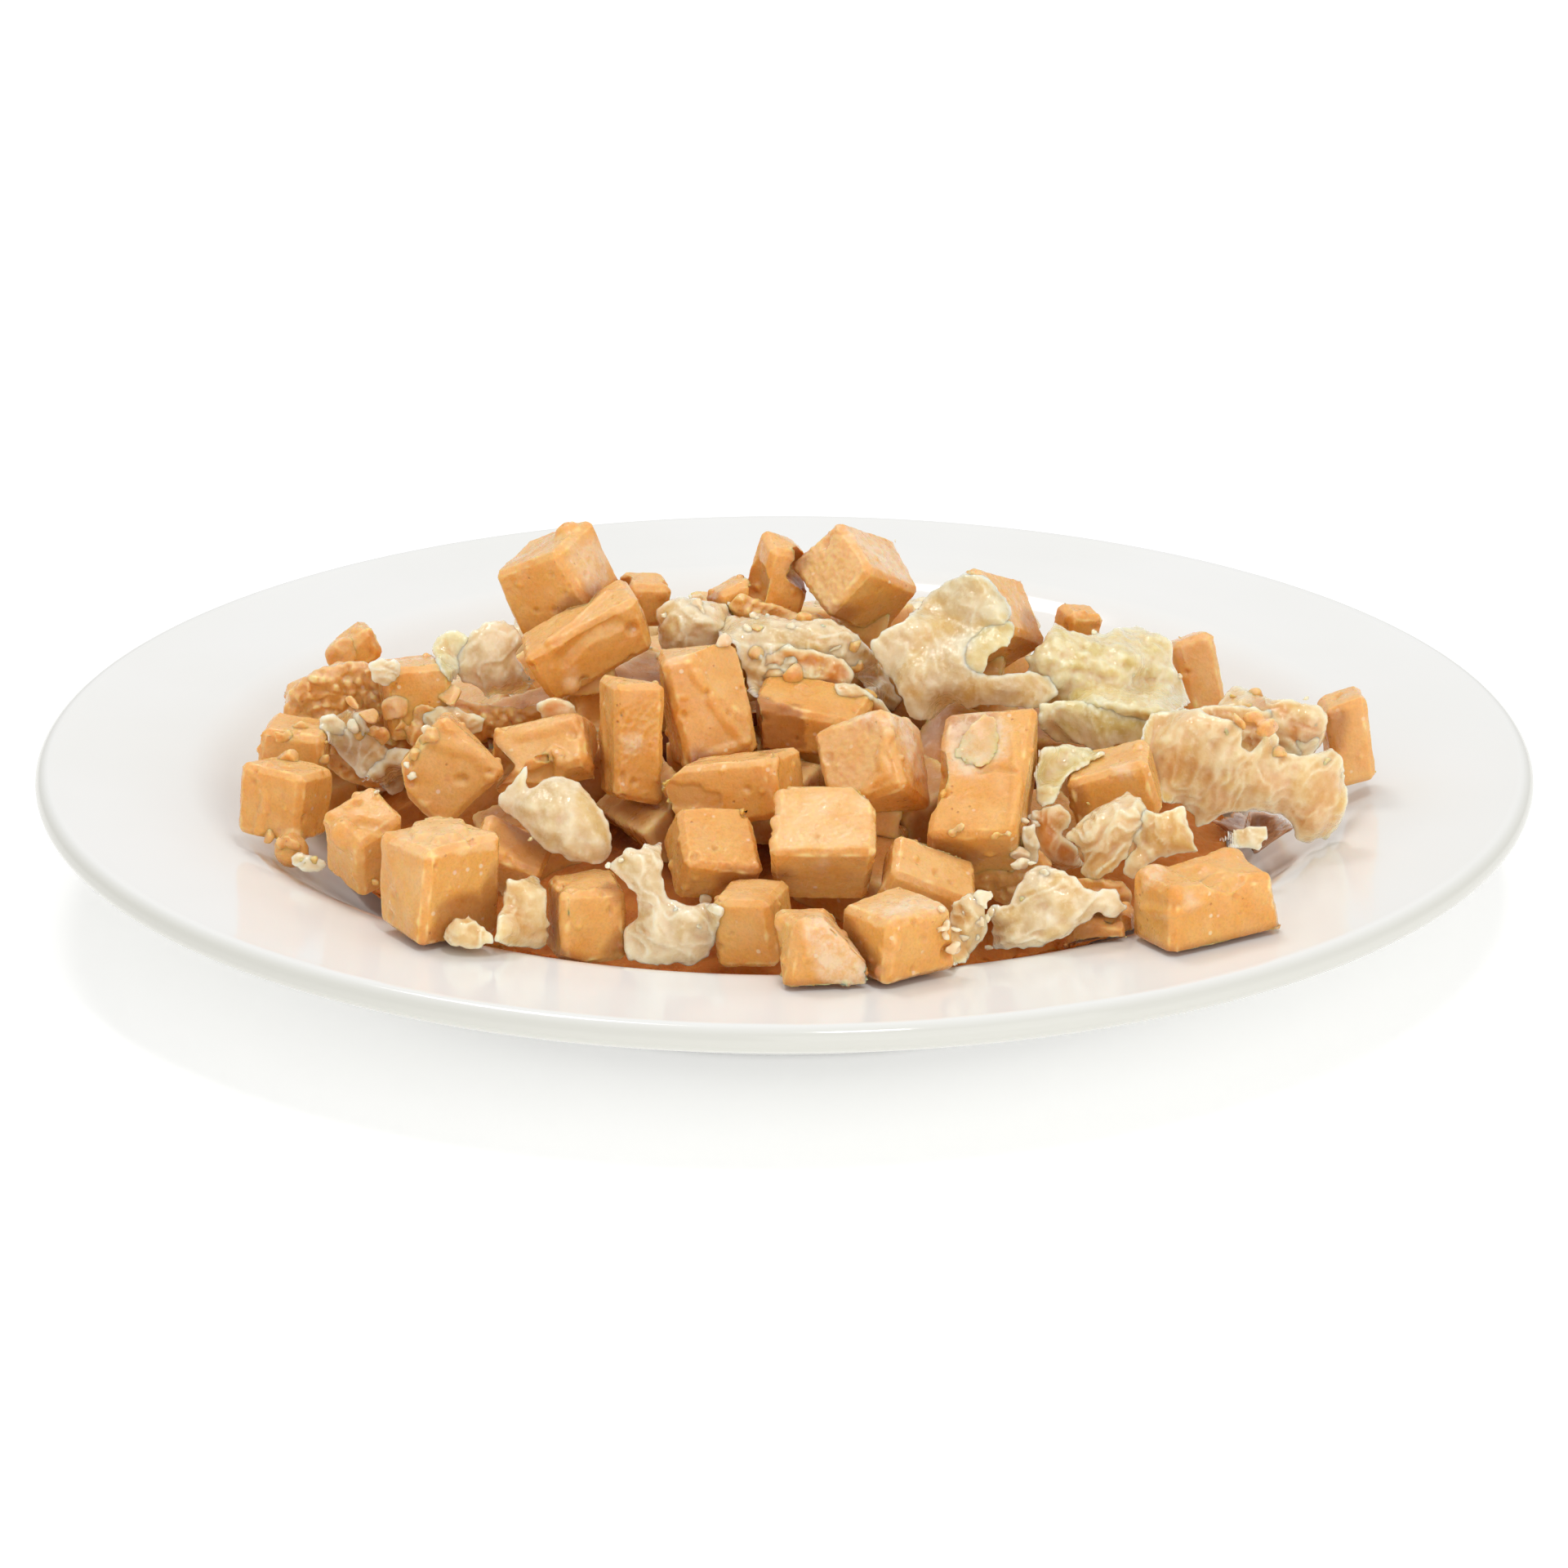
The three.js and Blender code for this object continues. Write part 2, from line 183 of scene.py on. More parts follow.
def copyOfNode(node, name):
    piece = placed(frame["nodes"][node].data.copy(), name)
    piece.data.materials.clear()
    edited(
        piece,
        (bpy.ops.mesh.remove_doubles, {"threshold": 1e-6}),
        (bpy.ops.mesh.normals_make_consistent, {"inside": False}),
    )
    return piece


def pointsOf(piece):
    spots = np.empty(len(piece.data.vertices) * 3)
    piece.data.vertices.foreach_get("co", spots)
    return spots.reshape(-1, 3)


def movePoints(piece, spots):
    piece.data.vertices.foreach_set("co", spots.astype(np.float32).ravel())
    piece.data.update()


def normalsOf(piece):
    ways = np.empty(len(piece.data.vertices) * 3)
    piece.data.vertex_normals.foreach_get("vector", ways)
    return ways.reshape(-1, 3)


def relaxed(piece, spots, rounds):
    # the points drawn towards their neighbours, that many times over
    count = len(piece.data.vertices)
    ends = np.empty(len(piece.data.edges) * 2, np.int64)
    piece.data.edges.foreach_get("vertices", ends)
    a, b = ends[0::2], ends[1::2]
    degree = np.maximum(np.bincount(a, minlength=count) + np.bincount(b, minlength=count), 1)
    spots = spots.copy()
    for _ in range(rounds):
        for k in range(spots.shape[1]):
            near = np.bincount(a, spots[b, k], count) + np.bincount(b, spots[a, k], count)
            spots[:, k] += 0.5 * (near / degree - spots[:, k])
    return spots


# measures of a surface, for its shape and its looks
def proudOf(piece, rounds):
    # how far each point stands out of the same shape drawn soft: over nought on edges, under it in hollows
    spots = pointsOf(piece)
    return ((spots - relaxed(piece, spots, rounds)) * normalsOf(piece)).sum(1)


def evenProudOf(piece, rounds=8, evened=2):
    return relaxed(piece, proudOf(piece, rounds)[:, None], evened)[:, 0]


def paintedTopLightOf(piece):
    # how far the flesh faces up, where painted top light, with a little fat, leaves it paler
    return np.clip((normalsOf(piece)[:, 2] - 0.3) / 0.55, 0, 1)


def speckles(points, size):
    # soft random values over the dish, from -1 to 1
    return np.array([noise.noise(Vector(p) / size) for p in points])


def wander(spots, size, seed):
    # the same over picture points
    return np.array([noise.noise(Vector((a / size, b / size, seed * 7.3))) for a, b in spots])


def noteOn(piece, **notes):
    # values from 0 to 1 at every point, which the materials read by name
    count = len(piece.data.vertices)
    for name, values in notes.items():
        note = piece.data.attributes.new(name, "FLOAT", "POINT")
        note.data.foreach_set("value", np.broadcast_to(np.clip(values, 0, 1), count).astype(np.float32))


def finished(piece, material, slot, *nodes):
    piece.data.materials.clear()
    piece.data.materials.append(material)
    only(piece)
    bpy.ops.object.shade_smooth()
    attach(piece, "root")
    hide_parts(*nodes)


# what lies where: the pile of solids under the looks, and outlines drawn in the picture
def pileOf(*kinds, without=None):
    corners, faces = [], []
    for name, node in frame["nodes"].items():
        if name == without or (kinds and not name.startswith(kinds)):
            continue
        base = len(corners)
        corners += [v.co.copy() for v in node.data.vertices]
        faces += [[base + i for i in f.vertices] for f in node.data.polygons]
    return BVHTree.FromPolygons(corners, faces)


def depthsOn(tree, ways):
    # how far from the camera each way meets the pile
    hits = (tree.ray_cast(camera.location, Vector(way)) for way in ways)
    return np.array([np.nan if spot is None else far for spot, normal, face, far in hits])


def insideOf(spots, outline):
    # how far picture points lie inside an outline, in points, and under nought outside it
    ends = np.array(outline, float)
    side = np.roll(ends, -1, 0) - ends
    away = spots[:, None] - ends[None]
    along = np.clip((away * side).sum(2) / (side**2).sum(1), 0, 1)
    far = np.linalg.norm(away - along[..., None] * side, axis=2).min(1)
    over = np.roll(ends, -1, 0)[:, 1]
    level = spots[:, None, 1]
    spans = (ends[:, 1] > level) != (over > level)
    rise = np.where(side[:, 1] == 0, 1e-9, side[:, 1])
    crossed = spans & (spots[:, None, 0] < side[:, 0] * (level - ends[:, 1]) / rise + ends[:, 0])
    return np.where(crossed.sum(1) % 2 == 1, far, -far)


# materials, all on Object coordinates turned into millimetres
def tone(colour):
    # a screen colour from 0 to 255 as the shader's own value
    shares = [c / 255 for c in colour]
    return (*[s / 12.92 if s <= 0.04045 else ((s + 0.055) / 1.055) ** 2.4 for s in shares], 1.0)


class Finish:
    def __init__(self, name):
        self.material = bpy.data.materials.new(name)
        self.material.use_nodes = True
        self.tree = self.material.node_tree
        self.inputs = self.tree.nodes["Principled BSDF"].inputs
        place, _ = self.add("TexCoord")
        scale, ends = self.add("Mapping")
        ends["Scale"].default_value = (1 / mm, 1 / mm, 1 / mm)
        self.feed(place.outputs["Object"], ends["Vector"])
        self.place = scale.outputs["Vector"]

    def add(self, kind, **ways):
        node = self.tree.nodes.new("ShaderNode" + kind)
        for key, value in ways.items():
            setattr(node, key, value)
        return node, node.inputs

    def feed(self, source, target):
        # another node's output, a colour or a plain number
        if isinstance(source, bpy.types.NodeSocket):
            self.tree.links.new(source, target)
        elif isinstance(source, tuple) and target.type == "RGBA":
            target.default_value = tone(source)
        else:
            target.default_value = source

    def show(self, sources):
        for name, source in sources.items():
            self.feed(source, self.inputs[name])
        return self.material

    def noise(self, size, detail=2, rough=0.5):
        node, ends = self.add("TexNoise")
        for name, source in (("Scale", 1 / size), ("Detail", detail), ("Roughness", rough), ("Vector", self.place)):
            self.feed(source, ends[name])
        return node.outputs["Fac"]

    def specks(self, size, low, high):
        # round dots of that spacing, 1 in their middles
        node, ends = self.add("TexVoronoi")
        self.feed(1 / size, ends["Scale"])
        self.feed(self.place, ends["Vector"])
        return self.ramp(node.outputs["Distance"], low, high, 1, 0)

    def ramp(self, source, low, high, start=0, end=1):
        node, ends = self.add("MapRange", interpolation_type="SMOOTHSTEP")
        values = (source, low, high, start, end)
        for name, value in zip(("Value", "From Min", "From Max", "To Min", "To Max"), values):
            self.feed(value, ends[name])
        return node.outputs["Result"]

    def patches(self, size, detail, rough, *limits):
        # soft patches of that size: the noise's low and high limits, and what it gives there
        return self.ramp(self.noise(size, detail, rough), *limits)

    def sum(self, kind, first, second):
        node, ends = self.add("Math", operation=kind)
        self.feed(first, ends[0])
        self.feed(second, ends[1])
        return node.outputs[0]

    def times(self, first, second):
        return self.sum("MULTIPLY", first, second)

    def plus(self, first, second):
        return self.sum("ADD", first, second)

    def mix(self, share, first, second):
        node, ends = self.add("Mix", data_type="RGBA")
        for name, source in ((0, share), (6, first), (7, second)):
            self.feed(source, ends[name])
        return node.outputs[2]

    def noted(self, name, share=1):
        node, _ = self.add("Attribute", attribute_name=name)
        return node.outputs["Fac"] if share == 1 else self.times(node.outputs["Fac"], share)

    def relief(self, height, depth):
        node, ends = self.add("Bump")
        self.feed(depth, ends["Distance"])
        self.feed(height, ends["Height"])
        return node.outputs["Normal"]


# patches: their size in mm, detail and roughness, the noise's low and high limits, then what it gives at each
# flecks and pits: spacing and limits of the dots, patches that choose among them, and how strongly they show
salmonLook = {
    "flesh": (235, 168, 80),
    "paler": ((239, 184, 104), (4.5, 3, 0.55, 0.32, 0.68)),
    "rosy": ((231, 160, 98), (2.2, 4, 0.6, 0.58, 0.76, 0, 0.5)),
    "grain": (0.32, 3, 0.6),
    "grainShade": (0.3, 0.7, 0.9, 1.05),
    "fleck": ((252, 232, 206), (1.7, 0.1, 0.2), (2.7, 0, 0.5, 0.56, 0.6), 0.55),
    # pits: small dents in the flesh, darkened with painted shade
    "pit": ((186, 112, 54), (1.35, 0.07, 0.15), (3.4, 1, 0.5, 0.56, 0.6), 0.6),
    # painted top light: the paler colour of faces turned up towards the lamps
    "top": ((249, 209, 152), (3.1, 3, 0.6, 0.25, 0.65, 0.35, 0.9)),
    # painted shade: the flesh darker where it lies close to its neighbours, in the crevices between them
    "damp": ((150, 62, 14), 0.85),
    # painted highlight: a light line along the cut edges and ridges
    "edge": ((255, 226, 160), 0.75),
    "amber": ((222, 160, 82), 0.75),
    "film": ((246, 222, 190), (1.4, 4, 0.65, 0.34, 0.62, 0.3, 0.95)),
    "soakShares": (1.0, 0.45, 0.17),
    "soak": 1.1 * mm,
    "roughness": (1.6, 3, 0.6, 0.4, 0.62, 0.42, 0.22),
    "wet": (2.4, 3, 0.6, 0.45, 0.62, 0.1, 0.7),
    "relief": 0.085 * mm,
    "wetRelief": 0.16 * mm,
}


def salmonFinish(name, look):
    f = Finish(name)
    grain = f.noise(*look["grain"])
    colour = look["flesh"]
    for part in ("paler", "rosy"):
        tint, patches = look[part]
        colour = f.mix(f.patches(*patches), colour, tint)
    colour = f.mix(f.ramp(grain, *look["grainShade"]), (0, 0, 0), colour)
    for part in ("fleck", "pit"):
        tint, specks, chosen, share = look[part]
        pits = f.times(f.specks(*specks), f.patches(*chosen))
        colour = f.mix(f.times(pits, share), colour, tint)
    # painted top light on faces turned up
    tint, patches = look["top"]
    colour = f.mix(f.times(f.noted("top"), f.patches(*patches)), colour, tint)
    for part in ("damp", "edge", "amber"):
        tint, share = look[part]
        colour = f.mix(f.noted(part, share), colour, tint)
    tint, patches = look["film"]
    colour = f.mix(f.times(f.noted("film"), f.patches(*patches)), colour, tint)
    height = f.plus(f.times(grain, 0.5), f.times(f.noise(0.85), 0.8))
    height = f.sum("SUBTRACT", height, f.times(pits, 0.9))
    wetHeight = f.plus(f.noise(0.7, 3, 0.65), f.times(grain, 0.5))
    return f.show(
        {
            "Base Color": colour,
            "Subsurface Weight": 1,
            "Subsurface Radius": look["soakShares"],
            "Subsurface Scale": look["soak"],
            "IOR": 1.42,
            "Roughness": f.patches(*look["roughness"]),
            "Coat Weight": f.patches(*look["wet"]),
            "Coat Roughness": 0.06,
            "Normal": f.relief(height, look["relief"]),
            "Coat Normal": f.relief(wetHeight, look["wetRelief"]),
        }
    )


# the pale fish: clean flesh, the wet jelly between, crumbs, greenish sheets, and a dark sheet that paints the shade
# under a flake
fishLooks = {
    "paleFlesh": {
        "flesh": (222, 194, 142),
        "milky": (240, 221, 184),
        "yellow": (224, 186, 108),
        "rim": (254, 244, 222),
        "glow": (228, 166, 86),
        "soak": 1.7 * mm,
        "roughness": 0.28,
    },
    "wetJelly": {
        "flesh": (228, 190, 124),
        "milky": (240, 216, 168),
        "yellow": (228, 186, 100),
        "rim": (252, 240, 210),
        "glow": (222, 150, 66),
        "soak": 1.7 * mm,
        "roughness": 0.2,
    },
    "crumbFlesh": {
        "flesh": (240, 212, 164),
        "milky": (250, 234, 204),
        "yellow": (236, 198, 130),
        "rim": (254, 246, 224),
        "glow": (234, 168, 88),
        "soak": 0.5 * mm,
        "roughness": 0.26,
    },
    "greenishFlesh": {
        "flesh": (232, 210, 152),
        "milky": (243, 230, 192),
        "yellow": (216, 190, 106),
        "rim": (250, 242, 208),
        "glow": (228, 166, 84),
        "soak": 1.6 * mm,
        "roughness": 0.22,
    },
    # painted shade: the colours of a dark sheet that stands for the shade under the right sheet's arch
    "shadedJelly": {
        "flesh": (150, 96, 58),
        "milky": (186, 142, 104),
        "yellow": (140, 86, 44),
        "rim": (222, 190, 166),
        "glow": (132, 72, 34),
        "soak": 0.6 * mm,
        "roughness": 0.2,
    },
}
fishPatches = {
    "milky": (3.6, 3, 0.6, 0.36, 0.64),
    "yellow": (5.5, 2, 0.5, 0.48, 0.66, 0, 0.8),
    "threads": (0.9, 3, 0.6, 0.5, 0.7, 0, 0.5),
    "roughness": (1.3, 3, 0.6, 0.4, 0.65),
    "wet": (2.2, 2, 0.5, 0.35, 0.6, 0.6, 1.0),
}
# what the surface notes, how strongly it shows, and in which colour: hollow is painted shade in the hollows, and rim
# a painted highlight along torn edges and proud ridges
fishNotes = (("glow", 1, "glow"), ("hollow", 0.35, "glow"), ("fibre", 0.4, "rim"), ("rim", 0.9, "rim"))


def fishFinish(name, look):
    f = Finish(name)
    colour = f.mix(f.patches(*fishPatches["milky"]), look["flesh"], look["milky"])
    colour = f.mix(f.patches(*fishPatches["yellow"]), colour, look["yellow"])
    colour = f.mix(f.patches(*fishPatches["threads"]), colour, look["milky"])
    for note, share, tint in fishNotes:
        colour = f.mix(f.noted(note, share), colour, look[tint])
    rough = look["roughness"]
    return f.show(
        {
            "Base Color": colour,
            "Subsurface Weight": 1,
            "Subsurface Radius": (1.0, 0.84, 0.62),
            "Subsurface Scale": look["soak"],
            "IOR": 1.38,
            "Roughness": f.patches(*fishPatches["roughness"], rough + 0.1, rough - 0.12),
            "Coat Weight": f.patches(*fishPatches["wet"]),
            "Coat Roughness": 0.05,
            "Normal": f.relief(f.plus(f.times(f.noise(0.45, 3, 0.6), 0.6), f.noise(1.2)), 0.1 * mm),
            "Coat Normal": f.relief(f.noise(1.1, 3, 0.6), 0.24 * mm),
        }
    )


# the core is seen only between the dice: its dark flesh is painted shade for the crevices, and towards the plate it
# takes the colour of shaded dice sides
coreLook = {
    "flesh": (104, 44, 10),
    "shred": (160, 82, 24),
    "foot": (206, 126, 56),
    "soak": 0.5 * mm,
    "roughness": 0.6,
}


def coreFinish(name, look):
    f = Finish(name)
    colour = f.mix(f.patches(1.8, 4, 0.65, 0.5, 0.7), look["flesh"], look["shred"])
    return f.show(
        {
            "Base Color": f.mix(f.noted("foot"), colour, look["foot"]),
            "Subsurface Weight": 1,
            "Subsurface Radius": (1.0, 0.35, 0.12),
            "Subsurface Scale": look["soak"],
            "Roughness": look["roughness"],
            "Specular IOR Level": 0.2,
            "Normal": f.relief(f.plus(f.noise(0.6, 4, 0.65), f.noise(1.8, 3)), 0.25 * mm),
        }
    )


# lip: painted shade on the outer side of the lip and the underside
glazeLook = {"white": (244, 244, 242), "shade": (242, 242, 239), "lip": (216, 215, 207), "roughness": 0.1}


def glazeFinish(name, look):
    f = Finish(name)
    colour = f.mix(f.patches(30, 2, 0.5, 0.3, 0.7), look["white"], look["shade"])
    return f.show(
        {
            "Base Color": f.mix(f.noted("lip"), colour, look["lip"]),
            "IOR": 1.5,
            "Roughness": f.patches(9, 3, 0.5, 0.3, 0.7, look["roughness"], look["roughness"] + 0.05),
            "Normal": f.relief(f.noise(22, 1), 0.12 * mm),
        }
    )


salmonFlesh = salmonFinish("salmonFlesh", salmonLook)
finishes = {name: fishFinish(name, look) for name, look in fishLooks.items()}
finishes["salmonFlesh"] = salmonFlesh
coreFlesh = coreFinish("coreFlesh", coreLook)
porcelainGlaze = glazeFinish("porcelainGlaze", glazeLook)
print("materials mixed")

# the plate, turned from its section
plateShape = {
    "radius": 90,
    "height": 19,
    "lip": 3.2,
    "wellEdgeRadius": 70,
    "wellEdgeHeight": 17.4,
    "wallFootRadius": 57,
    "floorHeight": 6.5,
    "footRadius": 54,
    "footWidth": 5,
    "footHeight": 2.5,
    "wellWall": (54, 14),
    "steps": 224,
}


def bent(start, pull, end, count):
    # points of a curve from start to end, drawn towards pull
    found = []
    for n in range(1, count + 1):
        t = n / count
        found.append([(1 - t) ** 2 * a + 2 * t * (1 - t) * p + t * t * b for a, p, b in zip(start, pull, end)])
    return found


def plateSection(shape):
    # radius and height, from the axis out under the foot, round the lip and back over the well
    lip = shape["lip"] / 2
    lipAt = (shape["radius"] - lip, shape["height"] - lip)
    foot, width, high = shape["footRadius"], shape["footWidth"], shape["footHeight"]
    edge, edgeHigh = shape["wellEdgeRadius"], shape["wellEdgeHeight"]
    wall, low = shape["wallFootRadius"], shape["floorHeight"]
    line = [[0, high], [25, high], [foot - width - 0.6, high]]
    line += bent([foot - width - 0.6, high], [foot - width + 0.1, high], [foot - width + 0.3, 1.6], 4)
    line += bent([foot - width + 0.5, 0.8], [foot - width + 0.8, 0], [foot - width + 1.6, 0], 4)
    line += [[foot - 1.6, 0]]
    line += bent([foot - 1.6, 0], [foot - 0.7, 0], [foot - 0.5, 0.9], 4)
    line += bent([foot - 0.2, 2.0], [foot, high], [foot + 1, high + 0.3], 4)
    line += bent([foot + 1, high + 0.3], [foot + 4.7, high + 1.2], [foot + 10, high + 6.1], 14)
    line += bent([foot + 10, high + 6.1], [edge, 13.6], [lipAt[0], lipAt[1] - lip], 16)
    for n in range(1, 17):
        turn = -math.pi / 2 + math.pi * n / 16
        line.append([lipAt[0] + lip * math.cos(turn), lipAt[1] + lip * math.sin(turn)])
    line += bent(line[-1], [lipAt[0] - 2, edgeHigh + 1.35], [edge + 8, edgeHigh + 0.75], 8)
    line += bent([edge + 8, edgeHigh + 0.75], [edge + 5, edgeHigh + 0.43], [edge + 2.4, edgeHigh + 0.2], 3)
    line += bent([edge + 2.4, edgeHigh + 0.2], [edge - 0.2, edgeHigh], [edge - 3, edgeHigh - 2], 10)
    line += bent([edge - 3, edgeHigh - 2], [wall + 5.7, low + 5.7], [wall + 1.5, low + 2.6], 4)
    line += bent([wall + 1.5, low + 2.6], [wall - 2, low], [wall - 7, low], 12)
    line += [[wall - 20, low], [20, low], [0, low]]
    return [(r * mm, 0, z * mm) for r, z in line]


def turnedPlate(shape):
    section = plateSection(shape)
    bpy.ops.mesh.primitive_circle_add(vertices=len(section), radius=0.05, location=(0, 0, 0))
    piece = bpy.context.object
    piece.name = "servingPlate"
    for vertex, spot in zip(piece.data.vertices, section):
        vertex.co = spot
    onAxis = {v.index for v in piece.data.vertices if v.co.x == 0}
    edited(piece, (bpy.ops.mesh.select_mode, {"type": "EDGE"}), (bpy.ops.mesh.select_all, {"action": "DESELECT"}))
    for edge in piece.data.edges:
        edge.select = set(edge.vertices) == onAxis
    bpy.ops.object.mode_set(mode="EDIT")
    bpy.ops.mesh.delete(type="EDGE")
    bpy.ops.mesh.select_all(action="SELECT")
    bpy.ops.mesh.spin(steps=shape["steps"], angle=2 * math.pi, center=(0, 0, 0), axis=(0, 0, 1), dupli=False)
    bpy.ops.mesh.select_all(action="SELECT")
    bpy.ops.mesh.remove_doubles(threshold=1e-6)
    bpy.ops.mesh.normals_make_consistent(inside=False)
    bpy.ops.object.mode_set(mode="OBJECT")
    # the outer side of the lip and the underside are greyer: painted shade, where they turn away from the light
    points = pointsOf(piece)
    outside = np.clip((np.linalg.norm(points[:, :2], axis=1) - (shape["radius"] - 1.5) * mm) / (1.2 * mm), 0, 1)
    noteOn(piece, lip=outside)
    finished(piece, porcelainGlaze, "porcelain", "plate")


turnedPlate(plateShape)
print("plate turned")

# salmon dice, each over its own solid; swell, dimple and crumble are the size and the height of waves
diceShape = {
    "voxel": 0.25 * mm,
    "shrink": 0.38 * mm,
    # the share of painted top light on tops
    "topShare": 0.5,
    "swell": (4.6 * mm, 0.42 * mm),
    "dimple": (1.0 * mm, 0.09 * mm),
    "crumble": (0.9 * mm, 0.48 * mm),
    "wornRise": 0.12 * mm,
    "sharpEdge": 24,
    "edgeUneven": 1.3 * mm,
    "pits": 7,
    "pitsReach": (0.3, 0.75),
    "bits": 7,
    "bitsReach": (0.3, 0.6),
    # painted shade near the neighbours: how near it starts and how far it reaches
    "paintedShadeFrom": 0.25 * mm,
    "paintedShadeReach": 1.4 * mm,
    # how finely and how broadly the edges of marks wander, and how soft they are, in millimetres
    "markEdges": (0.5 * mm, 1.6 * mm),
    "filmEdge": 1.5,
    "patchEdge": 0.4,
}
# dice whose tops take little of the painted top light, so that they are as orange as the sides
paintedTopLightShares = {"leaning_long": 0.12, "front_tipped": 0.2, "front_right": 0.3, "left_tall": 0.35, "back_shaded": 0.1}
